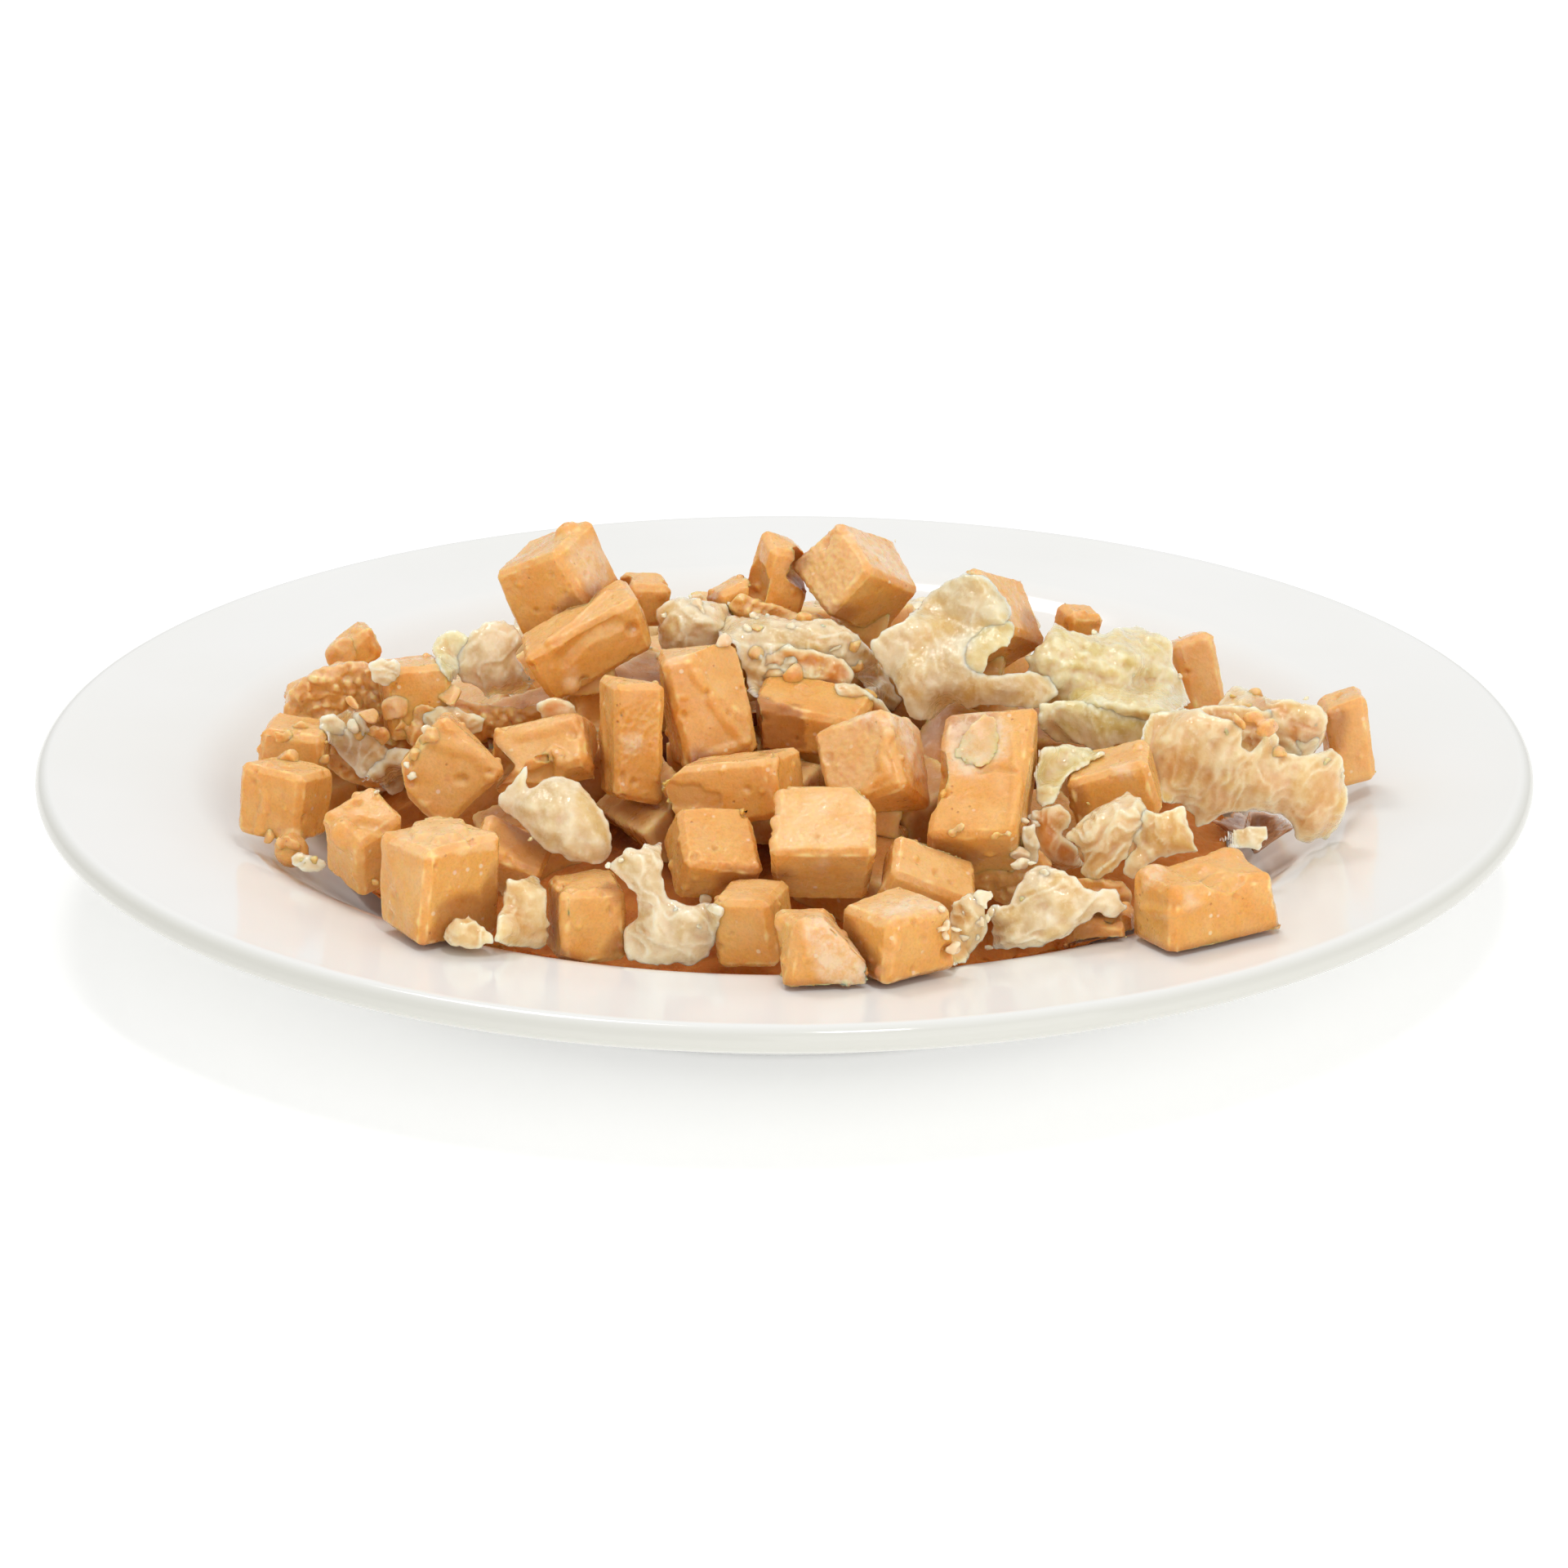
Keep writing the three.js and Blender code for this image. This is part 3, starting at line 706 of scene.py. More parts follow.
# what single dice show: lines and spots are picture points, wide and high millimetres; pale patches are painted light
# in the colour of a lit top, and the shade patches are painted shade
diceMarks = {
    "left_end": [
        ("line", [(328, 936), (326, 979), (315, 1019)], 0.8, 0.4),
        ("spot", [(350, 990)], 0.5, 0.35),
        ("spot", [(327, 994)], 0.45, 0.3),
        ("spot", [(310, 957)], 0.6, -0.4),
        ("spot", [(372, 1003)], 0.6, -0.4),
    ],
    "left_tall": [
        ("spot", [(437, 983)], 0.7, -0.5),
        ("spot", [(462, 976)], 0.5, 0.3),
        ("spot", [(416, 1022)], 2.2, 1.1),
        ("line", [(440, 1008), (470, 1016), (498, 1006)], 1.0, -0.5),
    ],
    "left_big": [
        ("patch", [(505, 1012), (535, 1004), (566, 1010), (572, 1024), (556, 1030), (528, 1032), (508, 1028)],
         0, 0.7),
        ("pale", [(474, 1032), (520, 1002), (604, 1008), (608, 1040), (560, 1046), (522, 1052)], 0.95, 0),
        ("spot", [(482, 1095)], 0.9, -0.3),
        ("line", [(478, 1120), (484, 1145)], 0.8, -0.3),
    ],
    "left_leaning": [
        ("spot", [(600, 945)], 0.6, -0.45),
        ("line", [(516, 905), (548, 912), (585, 925), (606, 950)], 1.2, 0.35),
        ("spot", [(523, 985)], 0.5, 0.25),
        ("spot", [(505, 960)], 0.6, -0.3),
    ],
    "left_slab": [
        ("line", [(650, 938), (668, 930), (676, 920), (688, 930), (684, 948)], 0.9, 0.7),
        ("line", [(640, 900), (700, 884)], 1.2, 0.4),
    ],
    "top_left": [
        ("film", [(700, 668), (722, 660), (746, 676), (742, 706), (730, 724), (708, 712), (698, 690)], 0.55, 0),
        ("spot", [(675, 704)], 0.45, -0.35),
        ("spot", [(656, 748)], 0.5, -0.35),
        ("spot", [(678, 748)], 0.5, -0.4),
        ("spot", [(697, 718)], 0.4, -0.3),
    ],
    "top_left_long": [
        ("spot", [(775, 770)], 0.9, -0.8),
        ("line", [(690, 806), (712, 784), (730, 770), (752, 762)], 1.3, -0.6),
        ("line", [(672, 786), (700, 766), (742, 728)], 0.9, 0.45),
        ("spot", [(700, 842)], 1.4, 0.6),
        ("spot", [(716, 834)], 1.0, -0.6),
        ("film", [(694, 822), (704, 818), (708, 832), (700, 840), (692, 834)], 0.5, 0),
    ],
    "top_right": [
        ("pale", [(970, 692), (1019, 638), (1052, 674), (1059, 700), (1019, 756), (972, 716)], 0.9, 0),
        ("film", [(1026, 641), (1062, 652), (1096, 674), (1118, 704), (1112, 718), (1078, 696), (1052, 674)],
         0.85, 0),
        ("grain", [(973, 692), (1019, 641), (1052, 674), (1059, 700), (1019, 752), (974, 711)], 0, 0.22),
    ],
    "middle_tall": [
        ("line", [(852, 826), (880, 870), (912, 908)], 0.9, 0.4),
        ("line", [(912, 910), (872, 924), (838, 936)], 0.9, 0.35),
        ("spot", [(836, 876)], 0.7, -0.5),
        ("film", [(806, 802), (830, 796), (842, 806), (826, 816), (808, 814)], 0.4, 0),
    ],
    "middle_post": [
        ("film", [(764, 906), (774, 900), (782, 903), (787, 912), (778, 922), (768, 918)], 1.0, 0.25),
        ("grain", [(752, 870), (808, 850), (812, 905), (756, 940)], 0, 0.16),
        ("line", [(762, 950), (762, 978)], 0.6, -0.4),
        ("line", [(776, 958), (776, 982)], 0.6, -0.35),
        ("line", [(738, 852), (742, 920), (746, 970)], 0.7, -0.3),
    ],
    "middle_long": [
        ("amber", [(804, 958), (818, 955), (850, 961), (878, 970), (887, 983), (880, 994), (858, 989),
         (828, 989), (806, 986)], 1.0, -0.3),
        ("line", [(948, 927), (948, 946), (950, 972)], 0.8, 0.35),
        ("spot", [(915, 966)], 0.5, -0.3),
        ("spot", [(933, 969)], 0.45, 0.3),
        ("spot", [(884, 944)], 0.4, 0.25),
    ],
    "middle_right": [
        ("pale", [(990, 905), (1040, 876), (1082, 900), (1076, 940), (1050, 972), (996, 957)], 0.7, 0),
        (
            "film",
            [
                (1043, 877), (1058, 870), (1084, 876), (1104, 868), (1120, 881), (1122, 903), (1131, 935),
                (1133, 952), (1119, 954), (1110, 925), (1100, 900), (1078, 890), (1048, 888),
            ],
            1.0, 0.3,
        ),
        ("spot", [(1014, 930)], 0.9, -0.4),
        ("line", [(1088, 900), (1079, 926), (1084, 948), (1060, 970)], 0.9, 0.4),
        ("grain", [(994, 905), (1040, 880), (1080, 900), (1076, 940), (1050, 970), (1000, 955)], 0, 0.14),
    ],
    "front_centre": [
        ("pale", [(952, 972), (1062, 972), (1078, 1036), (944, 1040)], 0.95, 0),
        ("spot", [(953, 976)], 1.3, 0.5),
        ("spot", [(950, 1006)], 1.2, 0.5),
        ("spot", [(949, 1030)], 1.2, 0.4),
        ("spot", [(1000, 1024)], 0.6, -0.35),
        ("spot", [(1059, 1034)], 0.5, 0.3),
        ("film", [(1000, 1050), (1012, 1046), (1016, 1058), (1006, 1066), (998, 1060)], 0.4, 0),
        ("grain", [(960, 975), (1060, 975), (1070, 1030), (956, 1036)], 0, 0.12),
    ],
    "front_tipped": [
        ("grain", [(826, 1000), (870, 1000), (925, 1034), (930, 1070), (850, 1066), (826, 1040)], 0, 0.12),
        ("spot", [(822, 1060)], 0.7, 0.35),
        ("spot", [(876, 1038)], 0.5, -0.35),
    ],
    "front_right_of_centre": [
        ("film", [(1066, 1112), (1091, 1104), (1123, 1100), (1162, 1096), (1170, 1106), (1123, 1119),
         (1091, 1122)], 1.0, 0.2),
        ("line", [(1097, 1124), (1098, 1160), (1100, 1206)], 0.8, 0.35),
        ("spot", [(1131, 1150)], 0.7, -0.3),
        ("spot", [(1078, 1163)], 0.6, 0.2),
        ("spot", [(1160, 1165)], 1.2, -0.7),
        ("spot", [(1158, 1188)], 1.0, 0.5),
    ],
    "front_wedge": [
        (
            "film",
            [
                (986, 1124), (1005, 1120), (1021, 1134), (1046, 1160), (1078, 1196), (1082, 1209), (1059, 1211),
                (1027, 1212), (1005, 1196), (990, 1168),
            ],
            0.8, 0.2,
        ),
        ("spot", [(955, 1130)], 1.2, 0.6),
        ("spot", [(954, 1160)], 1.2, -0.5),
        ("line", [(985, 1130), (988, 1170), (1004, 1208)], 0.9, 0.35),
    ],
    "leaning_long": [
        ("film", [(1164, 880), (1186, 866), (1226, 866), (1236, 893), (1232, 924), (1212, 944), (1182, 952),
         (1156, 934)], 0.8, 0),
        ("line", [(1200, 944), (1222, 940), (1244, 946)], 0.5, -0.3),
        ("line", [(1240, 900), (1246, 960), (1240, 1010)], 0.8, 0.3),
        ("spot", [(1168, 1076)], 0.8, -0.6),
    ],
    "front_right": [
        ("spot", [(1468, 1068)], 2.6, -0.9),
        ("spot", [(1412, 1066)], 2.2, 0.7),
        ("spot", [(1505, 1046)], 2.2, 0.7),
        ("spot", [(1440, 1090)], 1.6, 0.5),
        ("spot", [(1512, 1098)], 0.6, -0.4),
        ("film", [(1404, 1068), (1420, 1058), (1428, 1066), (1414, 1078), (1404, 1086)], 0.8, 0),
        ("film", [(1448, 1096), (1462, 1092), (1468, 1104), (1458, 1112), (1450, 1108)], 0.6, 0),
        ("line", [(1400, 1112), (1432, 1118), (1470, 1104), (1500, 1080), (1550, 1074)], 0.9, 0.3),
    ],
    "top_far_right": [
        ("film", [(1140, 700), (1186, 692), (1240, 742), (1222, 784), (1172, 812), (1140, 830)], 0.75, 0.25),
        ("grain", [(1140, 700), (1186, 692), (1240, 742), (1222, 784), (1172, 812), (1140, 830)], 0, 0.2),
        ("amber", [(1172, 812), (1222, 786), (1240, 800), (1236, 826), (1200, 838), (1168, 836)], 0.6, 0),
    ],
    "back_shaded": [
        # painted shade over its left face, which lies in shade
        ("damp", [(910, 846), (984, 866), (986, 916), (950, 930), (910, 930)], 0.6, 0),
    ],
    # pale: painted light on a face that lies in shade
    "right_end": [
        ("pale", [(1600, 830), (1700, 830), (1700, 970), (1600, 970)], 0.4, 0),
    ],
    "right_middle": [
        ("film", [(1366, 944), (1374, 936), (1386, 938), (1384, 950), (1374, 953)], 0.9, 0.2),
    ],
    # pale: painted light on a face that lies in shade
    "right_upright": [
        ("film", [(1440, 790), (1452, 788), (1456, 800), (1448, 806), (1440, 800)], 0.8, 0),
        ("pale", [(1420, 760), (1520, 760), (1520, 890), (1420, 890)], 0.4, 0),
    ],
    "front_left": [
        ("line", [(690, 1096), (689, 1130), (692, 1160)], 0.8, 0.35),
        ("spot", [(698, 1090)], 0.8, -0.4),
    ],
}


def nearestHit(piece, px, py):
    found, spot, normal, face = piece.ray_cast(camera.location, sightLine(px, py))
    return [np.array(spot)] if found else []


def nearEdges(points, starts, ends):
    # each point's distance to the nearest of those edges
    nearest = np.full(len(points), 1.0)
    for a, b in zip(starts, ends):
        side = b - a
        along = np.clip(((points - a) @ side) / max(side @ side, 1e-12), 0, 1)
        nearest = np.minimum(nearest, np.linalg.norm(points - a - along[:, None] * side, axis=1))
    return nearest


def markedDice(piece, marks, shape):
    # draws the lines, spots and patches into the flesh, and returns where each kind of patch lies
    points, ways = pointsOf(piece), normalsOf(piece)
    seen = picturePoints(points)
    front = (ways * waysThrough(seen)).sum(1) < 0.1
    crumbly, uneven = (speckles(points, size) for size in shape["markEdges"])
    found = {kind: np.zeros(len(points)) for kind in ("film", "amber", "pale", "damp", "pits")}
    lift = np.zeros(len(points))
    for kind, spots, wide, high in marks:
        if kind in ("line", "spot"):
            spots = [spot for place in spots for spot in nearestHit(piece, *place)]
            if not spots:
                continue
            far = nearEdges(points, spots[:-1] or spots, spots[1:] or spots)
            share = np.clip(1 - (far * (1 + 0.35 * uneven) / (wide * mm)) ** 2, 0, 1) ** 1.5
            lift += share * high
            if high < 0 and kind == "spot":
                found["pits"] = np.maximum(found["pits"], share)
            continue
        inside = insideOf(seen, spots) / pointsPerMm + 0.5 * uneven + 0.25 * crumbly
        share = np.clip(0.5 + inside / shape["filmEdge" if kind == "film" else "patchEdge"], 0, 1) * front
        if kind == "grain":
            lift += share * crumbly * high
            continue
        lift += share * high
        if kind in found:
            found[kind] = np.maximum(found[kind], share * wide)
    movePoints(piece, points + ways * (lift * mm)[:, None])
    return found


def cutEdges(piece, sharp):
    # both ends of every sharp edge, before the solid is rounded
    edited(
        piece,
        (bpy.ops.mesh.select_mode, {"type": "EDGE"}),
        (bpy.ops.mesh.select_all, {"action": "DESELECT"}),
        (bpy.ops.mesh.edges_select_sharp, {"sharpness": math.radians(sharp)}),
    )
    points = pointsOf(piece)
    pairs = [edge.vertices[:] for edge in piece.data.edges if edge.select]
    return points[[a for a, b in pairs]], points[[b for a, b in pairs]]


def pitsAndBits(piece, shape, chance):
    # small holes in the flesh and small bits stuck to it
    points, ways = pointsOf(piece), normalsOf(piece)
    pitted = np.zeros(len(points))
    for kind, way, power in (("pits", -1, 1.5), ("bits", 1, 1.0)):
        for _ in range(shape[kind]):
            middle = points[chance.randrange(len(points))]
            reach = chance.uniform(*shape[kind + "Reach"]) * mm
            stretch = np.array([chance.uniform(0.6, 1.3) for _ in range(3)])
            far = np.linalg.norm((points - middle) * stretch, axis=1) / reach
            bump = np.clip(1 - far**2, 0, 1) ** power
            points = points + ways * (way * bump * reach * chance.uniform(0.4, 0.8))[:, None]
            if way < 0:
                pitted = np.maximum(pitted, bump)
    movePoints(piece, points)
    return pitted


def paintedShadeOn(piece, node, shape):
    # painted shade: the flesh is darker where it lies close to its neighbours, where shade falls between them
    near = pileOf(without=node)
    far = np.array([near.find_nearest(Vector(p), 4 * mm)[3] or 4 * mm for p in pointsOf(piece)])
    return np.clip(1 - (far - shape["paintedShadeFrom"]) / shape["paintedShadeReach"], 0, 1) ** 1.2


def softDice(node, shape):
    short = node.removeprefix("salmon_")
    chance = random.Random(short)
    piece = copyOfNode(node, "dice_" + short)
    starts, ends = cutEdges(piece, shape["sharpEdge"])
    rebuilt(piece, shape["voxel"], 1)
    shrunk(piece, shape["shrink"])
    worn = piece.vertex_groups.new(name="worn")
    for n, weight in enumerate(np.clip(proudOf(piece, 8) / shape["wornRise"], 0, 1)):
        if weight > 0.05:
            worn.add([n], float(weight), "REPLACE")
    waved(piece, shape["swell"])
    waved(piece, shape["crumble"], level=0.6, vertex_group="worn")
    smoothed(piece, 1)
    waved(piece, shape["dimple"], detail=3)
    # a painted highlight line along each sharp edge of the solid, of uneven width
    uneven = speckles(pointsOf(piece), shape["edgeUneven"])
    line = 1 - (nearEdges(pointsOf(piece), starts, ends) - (0.22 + 0.35 * uneven) * mm) / (0.22 * mm)
    pitted = pitsAndBits(piece, shape, chance)
    found = markedDice(piece, diceMarks.get(short, ()), shape)
    # a painted highlight along the sharp edges, painted shade near neighbours and in the shade marks, and painted top
    # light on faces turned up
    noteOn(
        piece,
        film=found["film"],
        amber=found["amber"],
        edge=np.clip(line, 0, 1) * (0.55 + 0.6 * uneven) - np.maximum(pitted, found["pits"]),
        damp=np.maximum(paintedShadeOn(piece, node, shape), found["damp"]),
        top=np.maximum(paintedTopLightOf(piece) * paintedTopLightShares.get(short, shape["topShare"]), found["pale"]),
    )
    finished(piece, salmonFlesh, "salmon", node)


for node in sorted(n for n in frame["nodes"] if n.startswith("salmon_") and n != "salmon_heap"):
    softDice(node, diceShape)
print("dice softened")

# torn flakes of pale fish: each is drawn as an outline in the picture and laid over what it rests on
# grid, border, feather and ragged are picture points; fibres and folds millimetres; waves their size and height
flakeShape = {
    "grid": 3.2,
    "border": 8,
    "voxel": 0.29 * mm,
    "ragged": (9, 4.0),
    "skin": 0.35 * mm,
    "climb": 2.5,
    "nearby": 13 * mm,
    "deepest": 12 * mm,
    "crownReach": 2.2,
    "fibreWidth": 0.6,
    "fibreHeight": 0.07 * mm,
    "foldWidth": 2.2,
    "foldHeight": 0.3 * mm,
    "ripple": (2.4 * mm, 0.34 * mm),
    "shred": (0.8 * mm, 0.09 * mm),
    "rimWidth": 7,
    "rimRise": 0.25 * mm,
    "hollowDepth": 0.35 * mm,
}
# outline in picture points; thick and rim in millimetres; fibres as their slope in the picture, in degrees
flakes = {
    "left_front": [
        {
            "outline": [
                (605, 975), (621, 962), (645, 936), (649, 940), (646, 958), (648, 966), (668, 951), (691, 949),
                (714, 959), (734, 985), (748, 1012), (751, 1038), (744, 1055), (724, 1060), (698, 1055),
                (668, 1042), (650, 1024), (632, 1004), (612, 992),
            ],
            "thick": 5.5, "rim": 1.0, "dome": 2.6, "fibres": 60, "ridge": 0.2, "strands": 0.3, "rough": 0.4,
        },
    ],
    "left_bottom": [
        {
            "outline": [
                (616, 1078), (635, 1076), (655, 1067), (665, 1084), (671, 1090), (669, 1105), (674, 1131),
                (673, 1160), (658, 1164), (622, 1161), (604, 1154), (609, 1121), (615, 1095),
            ],
            "thick": 4.0, "rim": 1.0, "dome": 0.8, "fibres": 10, "ridge": 0.4, "look": "wetJelly", "glow": 0.15,
        },
        {
            "outline": [
                (540, 1152), (545, 1133), (556, 1122), (575, 1120), (589, 1131), (603, 1141), (606, 1157),
                (580, 1164), (552, 1160),
            ],
            "thick": 3.0, "rim": 0.8, "dome": 1.4, "fibres": 80, "ridge": 0.3, "look": "wetJelly", "glow": 0.1,
        },
    ],
    "front": [
        {
            "outline": [
                (743, 1062), (756, 1046), (770, 1037), (783, 1038), (788, 1030), (799, 1034), (810, 1027),
                (814, 1043), (812, 1069), (817, 1100), (845, 1106), (867, 1103), (890, 1110), (886, 1126),
                (877, 1155), (864, 1174), (848, 1183), (804, 1184), (769, 1176), (761, 1158), (764, 1136),
                (775, 1123), (781, 1107), (772, 1088), (759, 1075),
            ],
            "thick": 4.5, "rim": 1.2, "dome": 1.6, "fibres": 35, "ridge": 0.5,
        },
    ],
    "front_right": [
        {
            "outline": [
                (1211, 1113), (1221, 1107), (1237, 1105), (1243, 1088), (1255, 1068), (1272, 1058), (1300, 1064),
                (1317, 1072), (1329, 1088), (1345, 1092), (1349, 1086), (1366, 1088), (1374, 1101), (1382, 1113),
                (1366, 1125), (1345, 1121), (1325, 1133), (1300, 1150), (1272, 1160), (1235, 1164), (1215, 1160),
                (1212, 1141),
            ],
            "thick": 4.5, "rim": 1.2, "dome": 1.6, "fibres": -20, "ridge": 0.7,
        },
    ],
    "right_folded": [
        {
            "outline": [
                (1296, 1027), (1313, 1013), (1341, 990), (1374, 974), (1382, 967), (1398, 978), (1406, 991),
                (1400, 1010), (1388, 1030), (1380, 1052), (1366, 1066), (1345, 1078), (1330, 1083), (1321, 1066),
                (1326, 1046), (1312, 1032),
            ],
            "thick": 3.4, "rim": 1.0, "dome": 1.6, "fibres": -35, "ridge": 0.7, "look": "wetJelly", "glow": 0.1,
            "strands": 1.4,
        },
        {
            "outline": [
                (1390, 1000), (1400, 990), (1419, 993), (1451, 985), (1457, 1010), (1468, 1038), (1473, 1046),
                (1440, 1046), (1412, 1056), (1388, 1078), (1372, 1070), (1378, 1052), (1390, 1034), (1380, 1024),
                (1394, 1012),
            ],
            "thick": 3.4, "rim": 1.0, "dome": 1.4, "fibres": 75, "ridge": 0.8, "look": "wetJelly", "glow": 0.1,
        },
    ],
    "right_inner": [
        {
            "outline": [
                (1272, 915), (1300, 910), (1335, 914), (1358, 922), (1340, 935), (1310, 948), (1302, 965),
                (1290, 985), (1272, 990), (1264, 950),
            ],
            "thick": 4.0, "rim": 1.2, "dome": 1.2, "fibres": 10, "ridge": 0.3, "look": "greenishFlesh",
        },
        {
            "outline": [
                (1262, 990), (1300, 983), (1316, 1000), (1302, 1020), (1322, 1040), (1326, 1062), (1300, 1068),
                (1276, 1054), (1262, 1022),
            ],
            "thick": 4.0, "rim": 1.4, "dome": 1.0, "fibres": 40, "ridge": 0.5, "look": "wetJelly", "glow": 0.45,
        },
    ],
    "right_sheet": [
        {
            "outline": [
                (1406, 872), (1435, 870), (1463, 866), (1488, 876), (1516, 882), (1527, 892), (1522, 912),
                (1533, 922), (1547, 896), (1566, 893), (1567, 915), (1586, 925), (1610, 921), (1629, 913),
                (1645, 925), (1648, 958), (1652, 982), (1645, 1007), (1627, 1027), (1598, 1034), (1586, 1027),
                (1585, 1014), (1570, 1000), (1537, 993), (1500, 998), (1480, 1011), (1463, 1015), (1457, 994),
                (1443, 986), (1423, 986), (1412, 962), (1402, 941), (1394, 921), (1398, 892),
            ],
            "thick": 3.0, "rim": 1.2, "dome": 1.0, "fibres": -60, "ridge": 0.6, "look": "wetJelly", "glow": 0.2,
            "strands": 0.7, "rough": 0.7,
        },
    ],
    "right_back": [
        {
            "outline": [
                (1488, 870), (1496, 852), (1509, 838), (1537, 845), (1561, 855), (1594, 858), (1619, 864),
                (1628, 884), (1622, 905), (1612, 925), (1586, 930), (1560, 922), (1540, 925), (1515, 900),
            ],
            "thick": 5.0, "rim": 1.4, "dome": 1.4, "fibres": 20, "ridge": 0.7, "look": "wetJelly", "glow": 0.4,
        },
    ],
    "right_top": [
        {
            "outline": [
                (1256, 806), (1275, 784), (1292, 760), (1310, 770), (1330, 776), (1350, 776), (1366, 767),
                (1392, 765), (1420, 774), (1438, 786), (1436, 811), (1446, 826), (1454, 841), (1460, 860),
                (1440, 880), (1405, 886), (1380, 880), (1350, 870), (1310, 866), (1276, 868), (1262, 842),
            ],
            "thick": 6.5, "rim": 1.6, "dome": 3.2, "fibres": 15, "ridge": 0.9, "look": "greenishFlesh",
            "grains": 1.3, "strands": 0.4,
        },
    ],
    "right_top_low": [
        {
            "outline": [
                (1272, 860), (1310, 856), (1350, 862), (1385, 870), (1412, 880), (1406, 905), (1390, 920),
                (1366, 914), (1352, 926), (1330, 914), (1290, 909), (1270, 890),
            ],
            "thick": 3.6, "rim": 1.0, "dome": 1.0, "fibres": 70, "ridge": 0.4, "look": "greenishFlesh",
        },
    ],
    "top_sheet": [
        {
            "outline": [
                (1063, 785), (1080, 772), (1100, 761), (1125, 741), (1141, 722), (1165, 706), (1190, 699),
                (1212, 710), (1234, 732), (1242, 752), (1232, 768), (1206, 776), (1190, 790), (1184, 812),
                (1200, 822), (1222, 826), (1256, 820), (1288, 826), (1298, 850), (1274, 870), (1236, 868),
                (1210, 862), (1185, 870), (1172, 862), (1156, 870), (1140, 884), (1122, 884), (1108, 876),
                (1104, 856), (1092, 838), (1078, 820), (1068, 802),
            ],
            "thick": 1.6, "rim": 0.8, "dome": 0.7, "fibres": 60, "ridge": 0.35, "strands": 0.5,
        },
        {
            "outline": [
                (1176, 776), (1200, 764), (1234, 758), (1250, 768), (1236, 792), (1214, 806), (1204, 828),
                (1184, 826), (1172, 806),
            ],
            "thick": 0.9, "rim": 0.4, "dome": 0.2, "fibres": 60, "ridge": 0.2, "strands": 0.2,
            "look": "greenishFlesh", "glow": 0.3,
        },
    ],
    "top_middle": [
        {
            "outline": [
                (874, 763), (886, 753), (922, 752), (934, 749), (952, 755), (996, 757), (1018, 755), (1052, 777),
                (1078, 807), (1092, 836), (1107, 859), (1092, 875), (1070, 859), (1052, 838), (1018, 830),
                (1004, 812), (985, 838), (970, 852), (944, 856), (918, 855), (915, 840), (907, 814), (898, 790),
                (878, 785),
            ],
            "thick": 4.5, "rim": 1.0, "dome": 1.8, "fibres": 20, "ridge": 0.8, "grains": 0.5,
        },
    ],
    "top_left": [
        {
            "outline": [
                (802, 745), (830, 728), (860, 733), (890, 738), (900, 760), (892, 785), (862, 795), (835, 802),
                (815, 808), (804, 780),
            ],
            "thick": 5.0, "rim": 1.2, "dome": 1.8, "fibres": 20, "ridge": 0.7, "grains": 0.8,
        },
    ],
    "left_top": [
        {
            "outline": [
                (560, 800), (572, 776), (590, 762), (610, 756), (632, 766), (644, 785), (632, 802), (644, 822),
                (662, 835), (640, 850), (612, 852), (600, 858), (584, 842), (562, 834), (552, 820),
            ],
            "thick": 3.4, "rim": 0.8, "dome": 1.4, "fibres": -60, "ridge": 0.35,
        },
        {
            "outline": [(526, 792), (540, 776), (560, 770), (578, 780), (570, 805), (562, 832), (548, 838),
                (532, 812)],
            "thick": 3.0, "rim": 0.8, "dome": 0.8, "fibres": 70, "ridge": 0.3, "look": "greenishFlesh",
        },
    ],
    "left_inner": [
        {
            "outline": [
                (439, 956), (455, 936), (472, 918), (492, 913), (510, 920), (507, 946), (494, 969), (478, 976),
                (468, 966), (452, 962),
            ],
            "thick": 3.0, "rim": 0.8, "dome": 0.8, "fibres": -40, "ridge": 0.5,
        },
        {
            "outline": [
                (404, 880), (425, 866), (446, 870), (452, 892), (470, 903), (482, 925), (464, 946), (440, 955),
                (428, 938), (408, 918), (396, 898),
            ],
            "thick": 4.5, "rim": 1.0, "dome": 1.2, "fibres": 50, "ridge": 0.6, "glow": 0.3,
        },
    ],
    "on_leaning_long": [
        {
            "outline": [
                (1176, 902), (1190, 882), (1206, 872), (1221, 880), (1228, 905), (1222, 926), (1203, 941),
                (1184, 938), (1164, 925),
            ],
            "thick": 1.0, "rim": 0.3, "dome": 0.4, "fibres": 80, "ridge": 0.1, "look": "salmonFlesh",
            "strands": 0.2, "film": 0.75, "rough": 0.4, "skin": -0.15 * mm, "climb": 9,
        },
    ],
    "front_shreds": [
        {
            "outline": [
                (1164, 1108), (1180, 1096), (1194, 1086), (1208, 1100), (1211, 1127), (1206, 1152), (1195, 1160),
                (1184, 1179), (1168, 1184), (1152, 1172), (1150, 1156), (1160, 1140),
            ],
            "thick": 3.6, "rim": 1.0, "dome": 1.2, "fibres": 60, "ridge": 0.8, "look": "wetJelly", "glow": 0.25,
            "grains": 0.7,
        },
    ],
    "right_curl": [
        {
            "outline": [
                (1488, 1028), (1508, 1013), (1530, 1011), (1557, 1009), (1555, 1024), (1543, 1044), (1528, 1038),
                (1505, 1042),
            ],
            "thick": 1.2, "rim": 0.6, "dome": 1.2, "fibres": 40, "ridge": 0.4,
        },
    ],
    "left_end_bottom": [
        {
            "outline": [
                (352, 1048), (369, 1042), (399, 1050), (405, 1058), (393, 1068), (376, 1069), (358, 1060),
            ],
            "thick": 2.0, "rim": 0.7, "dome": 0.8, "fibres": 10, "ridge": 0.3,
        },
    ],
}


